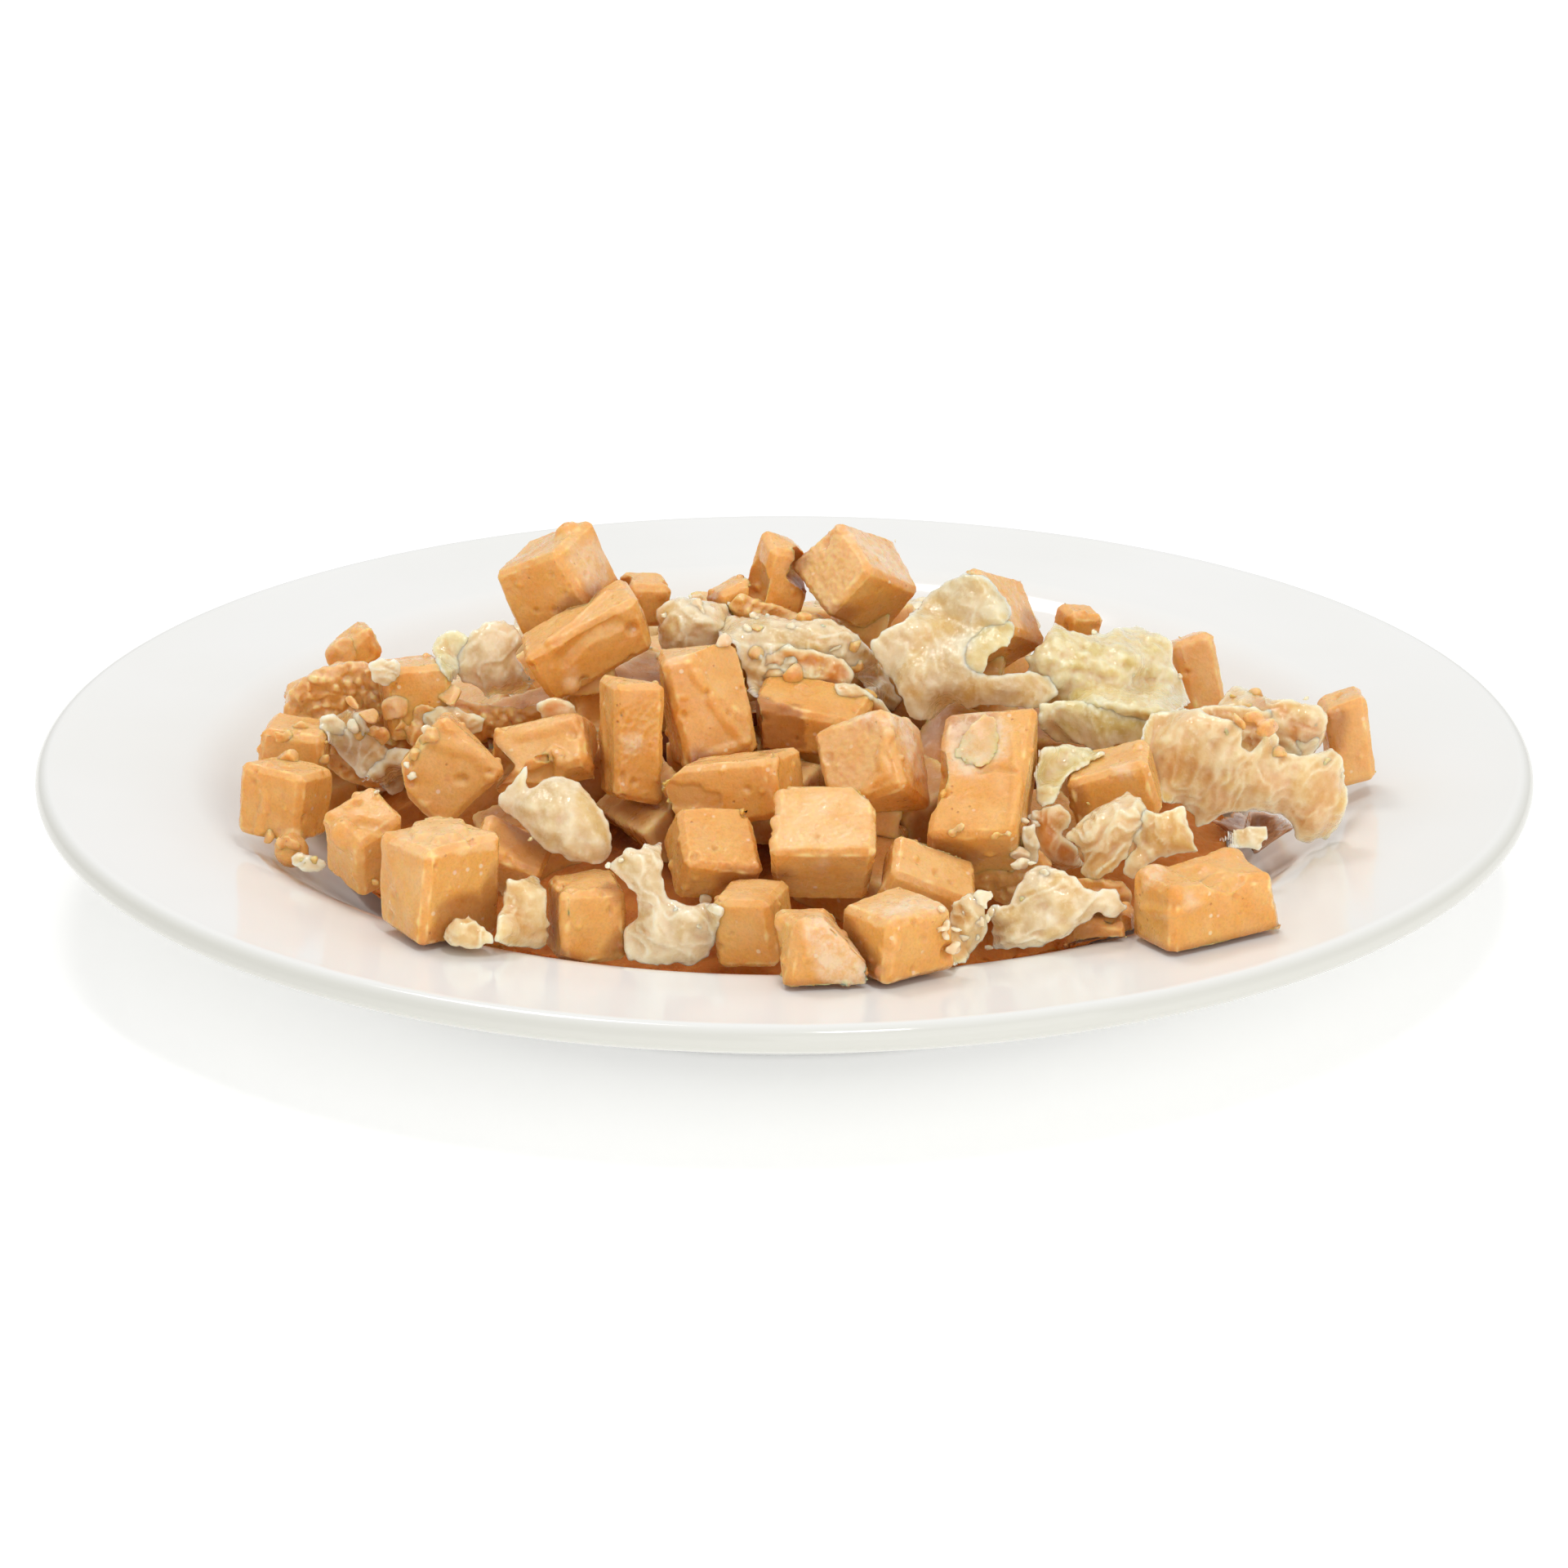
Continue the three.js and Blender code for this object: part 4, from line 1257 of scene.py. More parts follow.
def eased(values, mask, rounds):
    # a grid of depths evened out inside its mask; empty places fill from their neighbours
    weight = (~np.isnan(values) & mask).astype(float)
    values = np.where(weight > 0, values, 0)
    for _ in range(rounds):
        total, share = values * weight, weight.copy()
        for axis in (0, 1):
            for way in (1, -1):
                total += np.roll(values * weight, way, axis)
                share += np.roll(weight, way, axis)
        values = np.where(share > 0, total / np.maximum(share, 1e-9), values)
        weight = np.where(share > 0, 1.0, 0.0) * mask
    return values


def flatGrid(name, outline, shape):
    # a grid over the outline, with the picture point of every corner
    ends = np.array(outline, float)
    low, high = ends.min(0) - shape["border"], ends.max(0) + shape["border"]
    across, down = (int(v) for v in (high - low) / shape["grid"])
    bpy.ops.mesh.primitive_grid_add(x_subdivisions=across, y_subdivisions=down, size=1)
    piece = bpy.context.object
    piece.name = name
    unit = pointsOf(piece)[:, :2] + 0.5
    return piece, unit, low + unit * (high - low)


def restingDepth(sheet, node, pile, ways, unit, inside, shape):
    # how far from the camera the sheet lies, and the pile under it
    order = np.lexsort((np.round(unit[:, 0], 5), np.round(unit[:, 1], 5)))
    back = np.argsort(order)
    rows = len(np.unique(np.round(unit[:, 1], 5)))
    broad = (inside > -2 * shape["grid"])[order].reshape(rows, -1)
    own = depthsOn(pileOf(node), ways) if node else np.full(len(ways), np.nan)
    if "y" in sheet:
        own = (sheet["y"] * mm - camera.location.y) / ways[:, 1]
    middle = np.nanmedian(own)
    under = depthsOn(pile, ways)
    under[np.abs(under - middle) > shape["nearby"]] = np.nan
    skin = sheet.get("skin", shape["skin"])
    top = np.where(np.isnan(own), under - skin, own)
    top = eased(top[order].reshape(rows, -1), broad, 14).ravel()[back]
    over = top - under
    top = np.where((over > -skin) & (over < sheet.get("climb", shape["climb"]) * mm), under - skin, top)
    top = np.clip(top, middle - shape["deepest"], middle + shape["deepest"])
    return eased(top[order].reshape(rows, -1), broad, 3).ravel()[back], under


def frontAndBack(sheet, spots, inside, top, under, seed, shape):
    # both faces of the sheet: domed and ridged along its fibres in front, down on the pile behind
    reach = np.clip(inside / pointsPerMm, 0, None)
    crown = 1 - np.exp(-reach / shape["crownReach"])
    along, beside = fibreWays(sheet, spots)
    fibres = wander(np.stack([along / 3.2, beside], 1), 1.0, seed + 11)
    fibres += 0.5 * wander(np.stack([along / 2, beside], 1), 0.5, seed + 17)
    dome = sheet["dome"] * crown * (0.75 + 0.5 * wander(spots, 22, seed + 23))
    front = top - (dome + 0.6 * sheet["ridge"] * fibres * np.minimum(reach, 1)) * mm
    if "grains" in sheet:
        front -= sheet["grains"] * np.abs(wander(spots, 9, seed + 31)) * np.minimum(reach, 1) * mm
    deep = front + (sheet["rim"] + (sheet["thick"] - sheet["rim"]) * crown) * mm
    resting = np.minimum(under + 0.5 * mm, deep + 5 * mm * crown)
    return front, np.maximum(deep, np.where(np.isnan(under), deep, resting))


def fibreWays(sheet, spots):
    # how far along and beside the sheet's fibres picture points lie, in millimetres
    slope = math.radians(sheet["fibres"])
    along = spots @ np.array((math.cos(slope), math.sin(slope))) / pointsPerMm
    return along, spots @ np.array((-math.sin(slope), math.cos(slope))) / pointsPerMm


def cutAndFilled(piece, kept, ways, front, deep):
    # the grid bent to its front, cut to its torn edge, and drawn out to its back
    movePoints(piece, eye + ways * front[:, None])
    note = {tuple(np.round(p, 7)): k for k, p in enumerate(pointsOf(piece))}
    edited(piece, (bpy.ops.mesh.select_mode, {"type": "VERT"}), (bpy.ops.mesh.select_all, {"action": "DESELECT"}))
    for k, vertex in enumerate(piece.data.vertices):
        vertex.select = not kept[k]
    bpy.ops.object.mode_set(mode="EDIT")
    bpy.ops.mesh.delete(type="VERT")
    bpy.ops.mesh.select_all(action="SELECT")
    bpy.ops.mesh.delete_loose(use_verts=True, use_edges=True, use_faces=False)
    bpy.ops.object.mode_set(mode="OBJECT")
    count = len(piece.data.vertices)
    edited(piece, (bpy.ops.mesh.extrude_region_move, {}))
    points = pointsOf(piece)
    pushed = points.copy()
    for k in range(count, len(points)):
        found = note.get(tuple(np.round(points[k], 7)))
        if found is not None:
            pushed[k] = eye + ways[found] * deep[found]
    movePoints(piece, pushed)
    edited(piece, (bpy.ops.mesh.normals_make_consistent, {"inside": False}))


def fibresAndFolds(piece, sheet, seed, shape):
    # fine fibres and soft folds along the flesh, and what its looks depend on
    spots = picturePoints(pointsOf(piece))
    edge = insideOf(spots, sheet["outline"])
    along, beside = fibreWays(sheet, spots)
    strands, glow = sheet.get("strands", 1.0), sheet.get("glow", 0.0)
    width = shape["fibreWidth"]
    fibre = wander(np.stack([along / 4.5, beside / width], 1), 1.0, seed + 61)
    fibre += 0.6 * wander(np.stack([along / 2.2, beside / (0.5 * width)], 1), 1.0, seed + 67)
    width = shape["foldWidth"]
    bend = wander(spots, 30, seed + 71)
    fold = wander(np.stack([along / (2.2 * width) + bend, beside / width - bend], 1), 1.0, seed + 73)
    fold = np.clip(1 - 3.2 * np.abs(fold), 0, 1) ** 1.5
    lift = (fibre * shape["fibreHeight"] + fold * shape["foldHeight"]) * strands * np.clip(edge / 6, 0, 1)
    movePoints(piece, pointsOf(piece) + normalsOf(piece) * lift[:, None])
    proud = evenProudOf(piece)
    patches = np.clip(wander(spots, 34, seed + 51) * 2.2 + glow * 2 - 0.2, 0, 1)
    # rim: painted highlight along the torn edge and on proud ridges; hollow: painted shade in the hollows
    noteOn(
        piece,
        fibre=(0.75 * fold + 0.3 * fibre) * strands,
        hollow=-proudOf(piece, 30) / shape["hollowDepth"],
        rim=np.clip(1 - edge / shape["rimWidth"], 0, 1) * 0.9 + np.clip(proud / shape["rimRise"], 0, 1) * 0.5,
        glow=patches * glow * 2 * np.clip(edge / 14, 0, 1),
    )
    if sheet.get("look") == "salmonFlesh":
        film = wander(spots, 30, seed + 41) * 0.8 - 0.2 + sheet.get("film", 0.0)
        # on salmon flakes: a painted highlight on proud parts, an even painted shade, and painted top light
        noteOn(piece, edge=(proud - 0.04 * mm) / (0.16 * mm), film=film, damp=0.15, top=paintedTopLightOf(piece), amber=0)


def laidSheet(name, sheet, node, pile, seed):
    shape = flakeShape
    piece, unit, spots = flatGrid(name, sheet["outline"], shape)
    size, depth = shape["ragged"]
    inside = insideOf(spots, sheet["outline"])
    inside = inside + depth * wander(spots, size, seed) + 0.5 * depth * wander(spots, size / 2.3, seed + 3)
    ways = waysThrough(spots)
    top, under = restingDepth(sheet, node, pile, ways, unit, inside, shape)
    front, deep = frontAndBack(sheet, spots, inside, top, under, seed, shape)
    cutAndFilled(piece, inside > 0, ways, front, deep)
    rebuilt(piece, shape["voxel"], 3)
    for size, depth in (shape["ripple"], shape["shred"]):
        waved(piece, (size, depth * sheet.get("rough", 1.0)))
    fibresAndFolds(piece, sheet, seed, shape)
    finished(piece, finishes[sheet.get("look", "paleFlesh")], "pale_fish", *([node] if node else []))


pile = pileOf("salmon_", "plate")
for seed, (short, sheets) in enumerate(flakes.items()):
    for n, sheet in enumerate(sheets):
        laidSheet(f"fish_{short}_{n}", sheet, "flake_" + short, pile, seed * 5 + n)
print("flakes laid")

# broken salmon and fish between the dice, laid in the same way at a depth of their own
brokenMasses = {
    "left_back": [
        {
            "outline": [
                (352, 846), (372, 826), (404, 812), (440, 808), (470, 815), (500, 812), (545, 850), (590, 862),
                (640, 866), (690, 850), (702, 882), (640, 912), (600, 905), (560, 922), (520, 916), (505, 930),
                (480, 962), (450, 966), (420, 956), (400, 940), (350, 934), (336, 905), (345, 880),
            ],
            "y": -13, "thick": 7.0, "rim": 2.0, "dome": 1.0, "fibres": 30, "ridge": 1.0, "look": "salmonFlesh",
            "grains": 2.0, "climb": 0,
        },
        {
            "outline": [(449, 812), (470, 804), (490, 808), (492, 830), (476, 842), (455, 838)],
            "y": -21.5, "thick": 2.0, "rim": 0.5, "dome": 0.4, "fibres": 30, "ridge": 0.6, "grains": 0.5,
        },
        {
            "outline": [(388, 878), (408, 872), (428, 884), (426, 902), (404, 908), (390, 898)],
            "y": -21, "thick": 2.0, "rim": 0.5, "dome": 0.4, "fibres": 0, "ridge": 0.6, "grains": 0.5,
        },
        {
            "outline": [(512, 876), (540, 862), (570, 868), (596, 880), (590, 898), (560, 904), (528, 900)],
            "y": -21, "thick": 4.0, "rim": 1.0, "dome": 1.0, "fibres": 0, "ridge": 0.8, "look": "wetJelly",
            "glow": 0.3, "grains": 0.8,
        },
        {
            "outline": [(655, 862), (680, 850), (704, 862), (712, 884), (690, 896), (664, 890)],
            "y": -25, "thick": 3.0, "rim": 0.8, "dome": 0.8, "fibres": 20, "ridge": 0.6, "look": "wetJelly",
            "glow": 0.5,
        },
    ],
    "top": [
        {
            "outline": [
                (925, 800), (960, 790), (1000, 795), (1035, 805), (1050, 830), (1030, 845), (990, 840),
                (950, 838), (925, 830),
            ],
            "y": -20.5, "thick": 4.0, "rim": 1.0, "dome": 1.0, "fibres": 10, "ridge": 0.9, "look": "wetJelly",
            "glow": 0.5, "grains": 1.2,
        },
        {
            "outline": [
                (890, 740), (905, 724), (935, 735), (965, 745), (1000, 752), (1030, 762), (1040, 780), (990, 775),
                (940, 770), (900, 765),
            ],
            "y": -10, "thick": 4.0, "rim": 1.0, "dome": 1.0, "fibres": 10, "ridge": 0.9, "look": "salmonFlesh",
            "grains": 1.2,
        },
        {
            "outline": [(1020, 835), (1050, 836), (1085, 862), (1100, 880), (1085, 900), (1055, 890), (1030, 872)],
            "y": -24, "thick": 4.0, "rim": 1.0, "dome": 0.6, "fibres": 40, "ridge": 0.6, "look": "wetJelly",
            "glow": 0.6,
        },
    ],
    "right": [
        {
            "outline": [
                (1376, 905), (1400, 880), (1440, 870), (1500, 860), (1560, 870), (1600, 880), (1620, 905),
                (1600, 935), (1540, 940), (1480, 930), (1420, 925),
            ],
            "y": -22, "thick": 6.0, "rim": 2.0, "dome": 1.0, "fibres": 20, "ridge": 0.8, "look": "wetJelly",
            "glow": 0.3, "grains": 1.0,
        },
        {
            "outline": [(1284, 1080), (1330, 1070), (1376, 1078), (1390, 1100), (1376, 1130), (1330, 1140),
                (1290, 1120)],
            "y": -54, "thick": 5.0, "rim": 1.5, "dome": 0.8, "fibres": 20, "ridge": 0.8, "look": "salmonFlesh",
            "grains": 1.0, "climb": 0,
        },
        {
            "outline": [
                (1150, 1010), (1200, 1010), (1260, 1020), (1290, 1060), (1270, 1100), (1230, 1110), (1200, 1090),
                (1160, 1080),
            ],
            "y": -50, "thick": 6.0, "rim": 2.0, "dome": 0.8, "fibres": 20, "ridge": 0.8, "look": "salmonFlesh",
            "grains": 1.0, "climb": 0,
        },
        # a dark sheet of painted shade on the plate, under the arch of the right sheet
        {
            "outline": [
                (1462, 1022), (1484, 1004), (1510, 994), (1550, 992), (1580, 1004), (1592, 1024), (1584, 1040),
                (1560, 1044), (1530, 1050), (1500, 1052), (1474, 1046),
            ],
            "y": -3, "thick": 1.2, "rim": 0.7, "dome": 0.2, "fibres": 0, "ridge": 0.1, "strands": 0.2,
            "look": "shadedJelly", "climb": 12,
        },
        {
            "outline": [(1250, 1010), (1268, 1006), (1276, 1030), (1272, 1056), (1258, 1066), (1250, 1040)],
            "y": -52, "thick": 3.0, "rim": 0.8, "dome": 0.8, "fibres": 80, "ridge": 0.8, "grains": 0.8,
        },
    ],
}
for seed, (short, sheets) in enumerate(brokenMasses.items()):
    for n, sheet in enumerate(sheets):
        laidSheet(f"broken_{short}_{n}", sheet, None, pile, 200 + seed * 9 + n)
print("broken masses laid")

# crumbs: cut salmon with flat faces, and torn pale shreds
crumbShape = {
    "kinds": 5,
    "voxel": 0.24 * mm,
    "wave": (0.8 * mm, 0.2 * mm),
    # none lie behind this, nor lower and further out than this
    "rearmost": 12 * mm,
    "rimZone": (19 * mm, 60 * mm),
}
crumbSorts = {
    "salmon": {"facets": 8, "cuts": (0.22, 0.4), "flat": (0.7, 1.0), "ragged": 0.12, "sunk": -0.12},
    "pale": {"facets": 3, "cuts": (0.3, 0.45), "flat": (0.35, 0.6), "ragged": 0.3, "sunk": -0.04},
}
# where crumbs lie: a zone of the picture, how many, and their least and greatest size in millimetres
crumbZones = {
    "salmon": [
        ([(330, 930), (330, 880), (400, 800), (480, 800), (560, 850), (640, 870), (560, 930), (450, 965)],
         40, (2.0, 5.0)),
        ([(320, 1030), (350, 1010), (400, 1030), (400, 1066), (350, 1060)], 5, (1.4, 3.0)),
        ([(900, 700), (960, 740), (1060, 770), (1060, 830), (940, 830), (900, 780)], 14, (1.4, 3.4)),
        ([(1490, 860), (1520, 835), (1620, 850), (1640, 930), (1560, 960), (1500, 900)], 16, (1.6, 4.0)),
        ([(1150, 1010), (1260, 1010), (1300, 1080), (1220, 1120), (1160, 1080)], 6, (0.8, 1.8)),
        ([(340, 780), (1620, 780), (1640, 1100), (1300, 1180), (700, 1180), (320, 1050)], 6, (0.5, 1.2)),
    ],
    "pale": [
        ([(800, 745), (870, 722), (930, 750), (1000, 772), (1050, 800), (1056, 826), (1000, 812), (870, 790)],
         30, (0.9, 2.6)),
        ([(385, 905), (385, 870), (450, 800), (495, 810), (600, 870), (590, 910), (480, 930)], 5, (1.4, 3.0)),
        ([(435, 960), (455, 925), (510, 912), (508, 950), (480, 976)], 12, (1.2, 3.0)),
        ([(1150, 1180), (1150, 1110), (1215, 1090), (1215, 1160)], 20, (1.0, 2.8)),
        ([(1240, 1000), (1275, 1000), (1280, 1070), (1250, 1070)], 10, (1.2, 2.6)),
        ([(1270, 780), (1450, 770), (1460, 880), (1290, 870)], 12, (0.8, 2.2)),
        ([(1400, 870), (1640, 850), (1650, 1000), (1450, 1000)], 6, (0.6, 1.4)),
        ([(740, 1030), (880, 1100), (870, 1180), (760, 1180)], 8, (1.0, 2.4)),
    ],
}


def crumbKinds(sort, seed):
    chance = random.Random(seed)
    kinds = []
    for _ in range(crumbShape["kinds"]):
        bpy.ops.mesh.primitive_ico_sphere_add(subdivisions=3, radius=0.56)
        piece = bpy.context.object
        spots = pointsOf(piece)
        for _ in range(sort["facets"]):
            way = np.array([chance.gauss(0, 1) for _ in range(3)])
            way /= np.linalg.norm(way)
            spots -= np.maximum(spots @ way - chance.uniform(*sort["cuts"]), 0)[:, None] * way
        movePoints(piece, spots * np.array([1.0, chance.uniform(0.6, 0.95), chance.uniform(*sort["flat"])]))
        waved(piece, (0.35, sort["ragged"]))
        kinds.append(piece)
    return kinds


def crumbSpots(zones, pile, seed):
    chance = random.Random(seed)
    found = []
    for zone, count, (small, large) in zones:
        least, most = np.array(zone, float).min(0), np.array(zone, float).max(0)
        drawn = 0
        while drawn < count:
            spot = np.array([[chance.uniform(least[0], most[0]), chance.uniform(least[1], most[1])]])
            if insideOf(spot, zone)[0] < 0:
                continue
            drawn += 1
            size = (small + (large - small) * chance.random() ** 2) * mm
            hit, normal, face, far = pile.ray_cast(camera.location, Vector(waysThrough(spot)[0]))
            low, wide = crumbShape["rimZone"]
            if hit is None or hit.y > crumbShape["rearmost"] or (hit.z < low and math.hypot(hit.x, hit.y) > wide):
                continue
            found.append((hit, normal, size))
    return found


def overheadSpots(count, sizes, pile, seed):
    # the same from above and behind, so that the heap is strewn on every side
    chance = random.Random(seed)
    small, large = sizes
    found = []
    while len(found) < count:
        turn, share = chance.uniform(0, 2 * math.pi), math.sqrt(chance.random())
        start = Vector((58 * mm * share * math.cos(turn), (-2 + 52 * share * math.sin(turn)) * mm, 0.2))
        hit, normal, face, far = pile.ray_cast(start, Vector((0, -0.15, -1)).normalized())
        if hit is not None and hit.y > -2 * mm:
            found.append((hit, normal, (small + (large - small) * chance.random() ** 2) * mm))
    return found


def strewn(name, spots, sort, material, slot, seed):
    chance = random.Random(seed)
    kinds = crumbKinds(sort, seed)
    made = []
    for hit, normal, size in spots:
        crumb = placed(chance.choice(kinds).data.copy(), "crumb")
        turn = chance.uniform(0, 6.3)
        turned = Matrix.Rotation(turn, 4, Vector([chance.gauss(0, 1) for _ in range(3)]).normalized())
        place = hit + normal * size * sort["sunk"]
        crumb.data.transform(Matrix.Translation(place) @ turned @ Matrix.Scale(size, 4))
        made.append(crumb)
    for kind in kinds:
        bpy.data.objects.remove(kind)
    piece = joined(made, name)
    rebuilt(piece, crumbShape["voxel"], 2)
    waved(piece, crumbShape["wave"])
    points, proud = pointsOf(piece), evenProudOf(piece, 6, 1)
    # a painted highlight on proud parts, a little even painted shade, painted top light, and painted shade in the
    # hollows
    noteOn(
        piece,
        edge=(proud - 0.03 * mm) / (0.16 * mm),
        film=speckles(points, 3 * mm),
        damp=0.1,
        top=paintedTopLightOf(piece),
        amber=0,
        fibre=speckles(points, 0.9 * mm),
        hollow=-proud / (0.3 * mm),
        rim=proud / (0.2 * mm),
        glow=speckles(points, 4 * mm) * 0.8,
    )
    finished(piece, material, slot)


wholePile = pileOf()
salmonSpots = crumbSpots(crumbZones["salmon"], wholePile, 3) + overheadSpots(60, (0.8, 3.0), wholePile, 4)
paleSpots = crumbSpots(crumbZones["pale"], wholePile, 5) + overheadSpots(50, (0.7, 2.6), wholePile, 6)
strewn("crumbsSalmon", salmonSpots, crumbSorts["salmon"], salmonFlesh, "salmon", 7)
strewn("crumbsPale", paleSpots, crumbSorts["pale"], finishes["crumbFlesh"], "pale_fish", 8)
print(len(salmonSpots), "salmon crumbs and", len(paleSpots), "pale crumbs strewn")

# the two flakes at the back are torn from their solids
tornShape = {"voxel": 0.38 * mm, "lumps": (3.2 * mm, 2.0 * mm), "shreds": (1.3 * mm, 0.5 * mm), "fibres": 1.1 * mm}


def tornFlake(node, shape):
    piece = copyOfNode(node, "fish_" + node.removeprefix("flake_"))
    rebuilt(piece, shape["voxel"], 6)
    waved(piece, shape["lumps"])
    waved(piece, shape["shreds"])
    smoothed(piece, 3)
    # rim: painted highlight on proud ridges; hollow: painted shade in the hollows
    noteOn(
        piece,
        rim=evenProudOf(piece) / flakeShape["rimRise"],
        glow=0,
        hollow=-proudOf(piece, 30) / flakeShape["hollowDepth"],
        fibre=speckles(pointsOf(piece), shape["fibres"]),
    )
    finished(piece, finishes["paleFlesh"], "pale_fish", node)


for node in sorted(n for n in frame["nodes"] if n.startswith("flake_")):
    if node.removeprefix("flake_") not in flakes:
        tornFlake(node, tornShape)
print("flakes torn")

# the heap: a wet crumbled core, dark with painted shade for the crevices between the dice, and the dice that lie in
# it; sizes in millimetres, angles in degrees
heapShape = {
    "rows": 6,
    "columns": 7,
    "centreY": -6,
    "across": 64,
    "deep": 60,
    "edgeHeight": 19,
    "topHeight": 36,
    "spacing": 14.5,
    "looseness": 4,
    "diceSize": (9.5, 12.5),
    "tip": 30,
    "frontEnd": -4,
    "sunkInFront": 6,
    "sunkBehind": 5,
    "frontShare": 0.7,
    "coreVoxel": 0.65 * mm,
    "diceVoxel": 0.52 * mm,
    "coreShrink": 1.2 * mm,
    "coreWave": (2.4 * mm, 1.6 * mm),
    "footHeight": 19,
    "footSlope": 5,
    "footBack": 1.5,
    "footTint": (19 * mm, 4 * mm),
}


def drawFrom(seed):
    # the same draw of numbers from 0 to 1 each time
    state = seed * 7919 + 17
    while True:
        state = (state * 16807) % 2147483647
        yield state / 2147483647


def buriedDice(shape):
    draw = drawFrom(7)
    low, high = shape["diceSize"]
    found = []
    for row in range(-shape["rows"], shape["rows"] + 1):
        for column in range(-shape["columns"], shape["columns"] + 1):
            offset = math.fmod(row, 2) / 2
            x = (column + offset) * shape["spacing"] + (next(draw) - 0.5) * shape["looseness"]
            y = shape["centreY"] + row * shape["spacing"] * 0.87 + (next(draw) - 0.5) * shape["looseness"]
            share = math.hypot(x / (shape["across"] - 5), (y - shape["centreY"]) / (shape["deep"] - 5))
            size = [low + (high - low) * next(draw) for _ in range(3)]
            turn = [next(draw) * 2 * shape["tip"] - shape["tip"] for _ in range(2)] + [next(draw) * 90]
            inFront = y < shape["frontEnd"]
            if share > (shape["frontShare"] if inFront else 1):
                continue
            far = min(max((share - 0.15) / 0.3, 0), 1)
            sunk = shape["sunkInFront"] if inFront else shape["sunkBehind"] * far * far * (3 - 2 * far)
            surface = shape["edgeHeight"] + (shape["topHeight"] - shape["edgeHeight"]) * (1 - share**1.6)
            found.append(((x, y, surface - size[2] * 0.4 - sunk), size, turn))
    return found


def heapDiceFrom(solid, found, shape):
    made = []
    for spot, size, turn in found:
        bpy.ops.mesh.primitive_cube_add(size=1)
        piece = bpy.context.object
        a, b, c = (math.radians(t) for t in turn)
        turned = Matrix.Rotation(a, 4, "X") @ Matrix.Rotation(b, 4, "Y") @ Matrix.Rotation(c, 4, "Z")
        sized = Matrix.Diagonal((*[s * mm for s in size], 1))
        piece.data.transform(Matrix.Translation([c * mm for c in spot]) @ turned @ sized)
        apply(piece, "BOOLEAN", operation="INTERSECT", object=solid, solver="EXACT")
        if len(piece.data.vertices) < 4:
            bpy.data.objects.remove(piece)
            continue
        rebuilt(piece, shape["diceVoxel"], 3)
        made.append(piece)
    return made


def looseDice(piece, damp, top):
    # a painted highlight on the proud parts, painted shade by the given share, and painted top light
    noteOn(piece, edge=evenProudOf(piece) / (0.2 * mm), film=0, amber=0, damp=damp, top=paintedTopLightOf(piece) * top)
    finished(piece, salmonFlesh, "salmon_inside", "salmon_heap")


def heapCore(core, shape):
    core.name = "heapCore"
    apply(core, "REMESH", mode="VOXEL", voxel_size=shape["coreVoxel"])
    # its foot stands back, so that the dice in front are seen down to the plate
    points = pointsOf(core)
    fromFoot = np.clip((shape["footHeight"] * mm - points[:, 2]) / (shape["footSlope"] * mm), 0, 1)
    outward = np.stack([points[:, 0], points[:, 1] - shape["centreY"] * mm], 1)
    outward /= np.maximum(np.linalg.norm(outward, axis=1), 1 * mm)[:, None]
    points[:, :2] -= outward * (shape["footBack"] * mm * fromFoot)[:, None]
    movePoints(core, points)
    shrunk(core, shape["coreShrink"])
    waved(core, shape["coreWave"], detail=3)
    # lighter towards the plate, in the colour of shaded dice sides
    top, fade = shape["footTint"]
    noteOn(core, foot=(top - pointsOf(core)[:, 2]) / fade)
    finished(core, coreFlesh, "salmon_inside", "salmon_heap")


def dressedHeap(shape):
    solid = copyOfNode("salmon_heap", "heapSolid")
    made = heapDiceFrom(solid, buriedDice(shape), shape)
    print(len(made), "dice in the heap")
    inFront = [piece for piece in made if pointsOf(piece)[:, 1].mean() < 0]
    behind = [piece for piece in made if piece not in inFront]
    # the dice in front take more painted shade and less painted top light than those behind
    for name, group, damp, top in (("heapDiceFront", inFront, 0.5, 0.3), ("heapDiceBack", behind, 0.1, 1.0)):
        dice = joined(group, name)
        waved(dice, diceShape["swell"])
        waved(dice, diceShape["dimple"], detail=3)
        looseDice(dice, damp, top)
    heapCore(solid, shape)


dressedHeap(heapShape)
print("heap dressed")

# more of the heap where it is hidden from the front: dice under and behind the ridge hold its top pieces up
# sizes in millimetres; margin widens a box for the test of what hides it, slim is the share of a slimmer stack
supportShape = {
    "tries": 9000,
    "low": (-62, -28, 12),
    "high": (68, 18, 38),
    "size": (8.5, 11.0),
    "apart": 0.82,
    "reach": 13,
    "ridgeY": -8,
    "ridgeHeight": 37,
    "backSlope": 0.5,
    "heapRadius": 52,
    "voxel": 0.55 * mm,
    "post": 7.5,
    "storey": 8.5,
    "slim": 0.66,
    "slimPlaces": ((0, 0), (0, 2), (2, 1), (2, 3), (4, 3)),
    "clear": 3.4,
    "margin": 1.18,
    "tipLoose": 0.45,
    "tipStacked": 0.25,
}
# the corners of a box in the order of boxCorners, side by side
boxFaces = ((0, 1, 3, 2), (4, 6, 7, 5), (0, 4, 5, 1), (2, 3, 7, 6), (0, 2, 6, 4), (1, 5, 7, 3))


def boxCorners(low, high):
    return np.array([(x, y, z) for x in (low[0], high[0]) for y in (low[1], high[1]) for z in (low[2], high[2])])


def plateUnder(x, y):
    # the height of the well's upper face, in millimetres
    wall, wide = plateShape["wellWall"]
    share = min(max((math.hypot(x, y) - wall) / wide, 0), 1)
    return plateShape["floorHeight"] + (plateShape["wellEdgeHeight"] - plateShape["floorHeight"]) * share


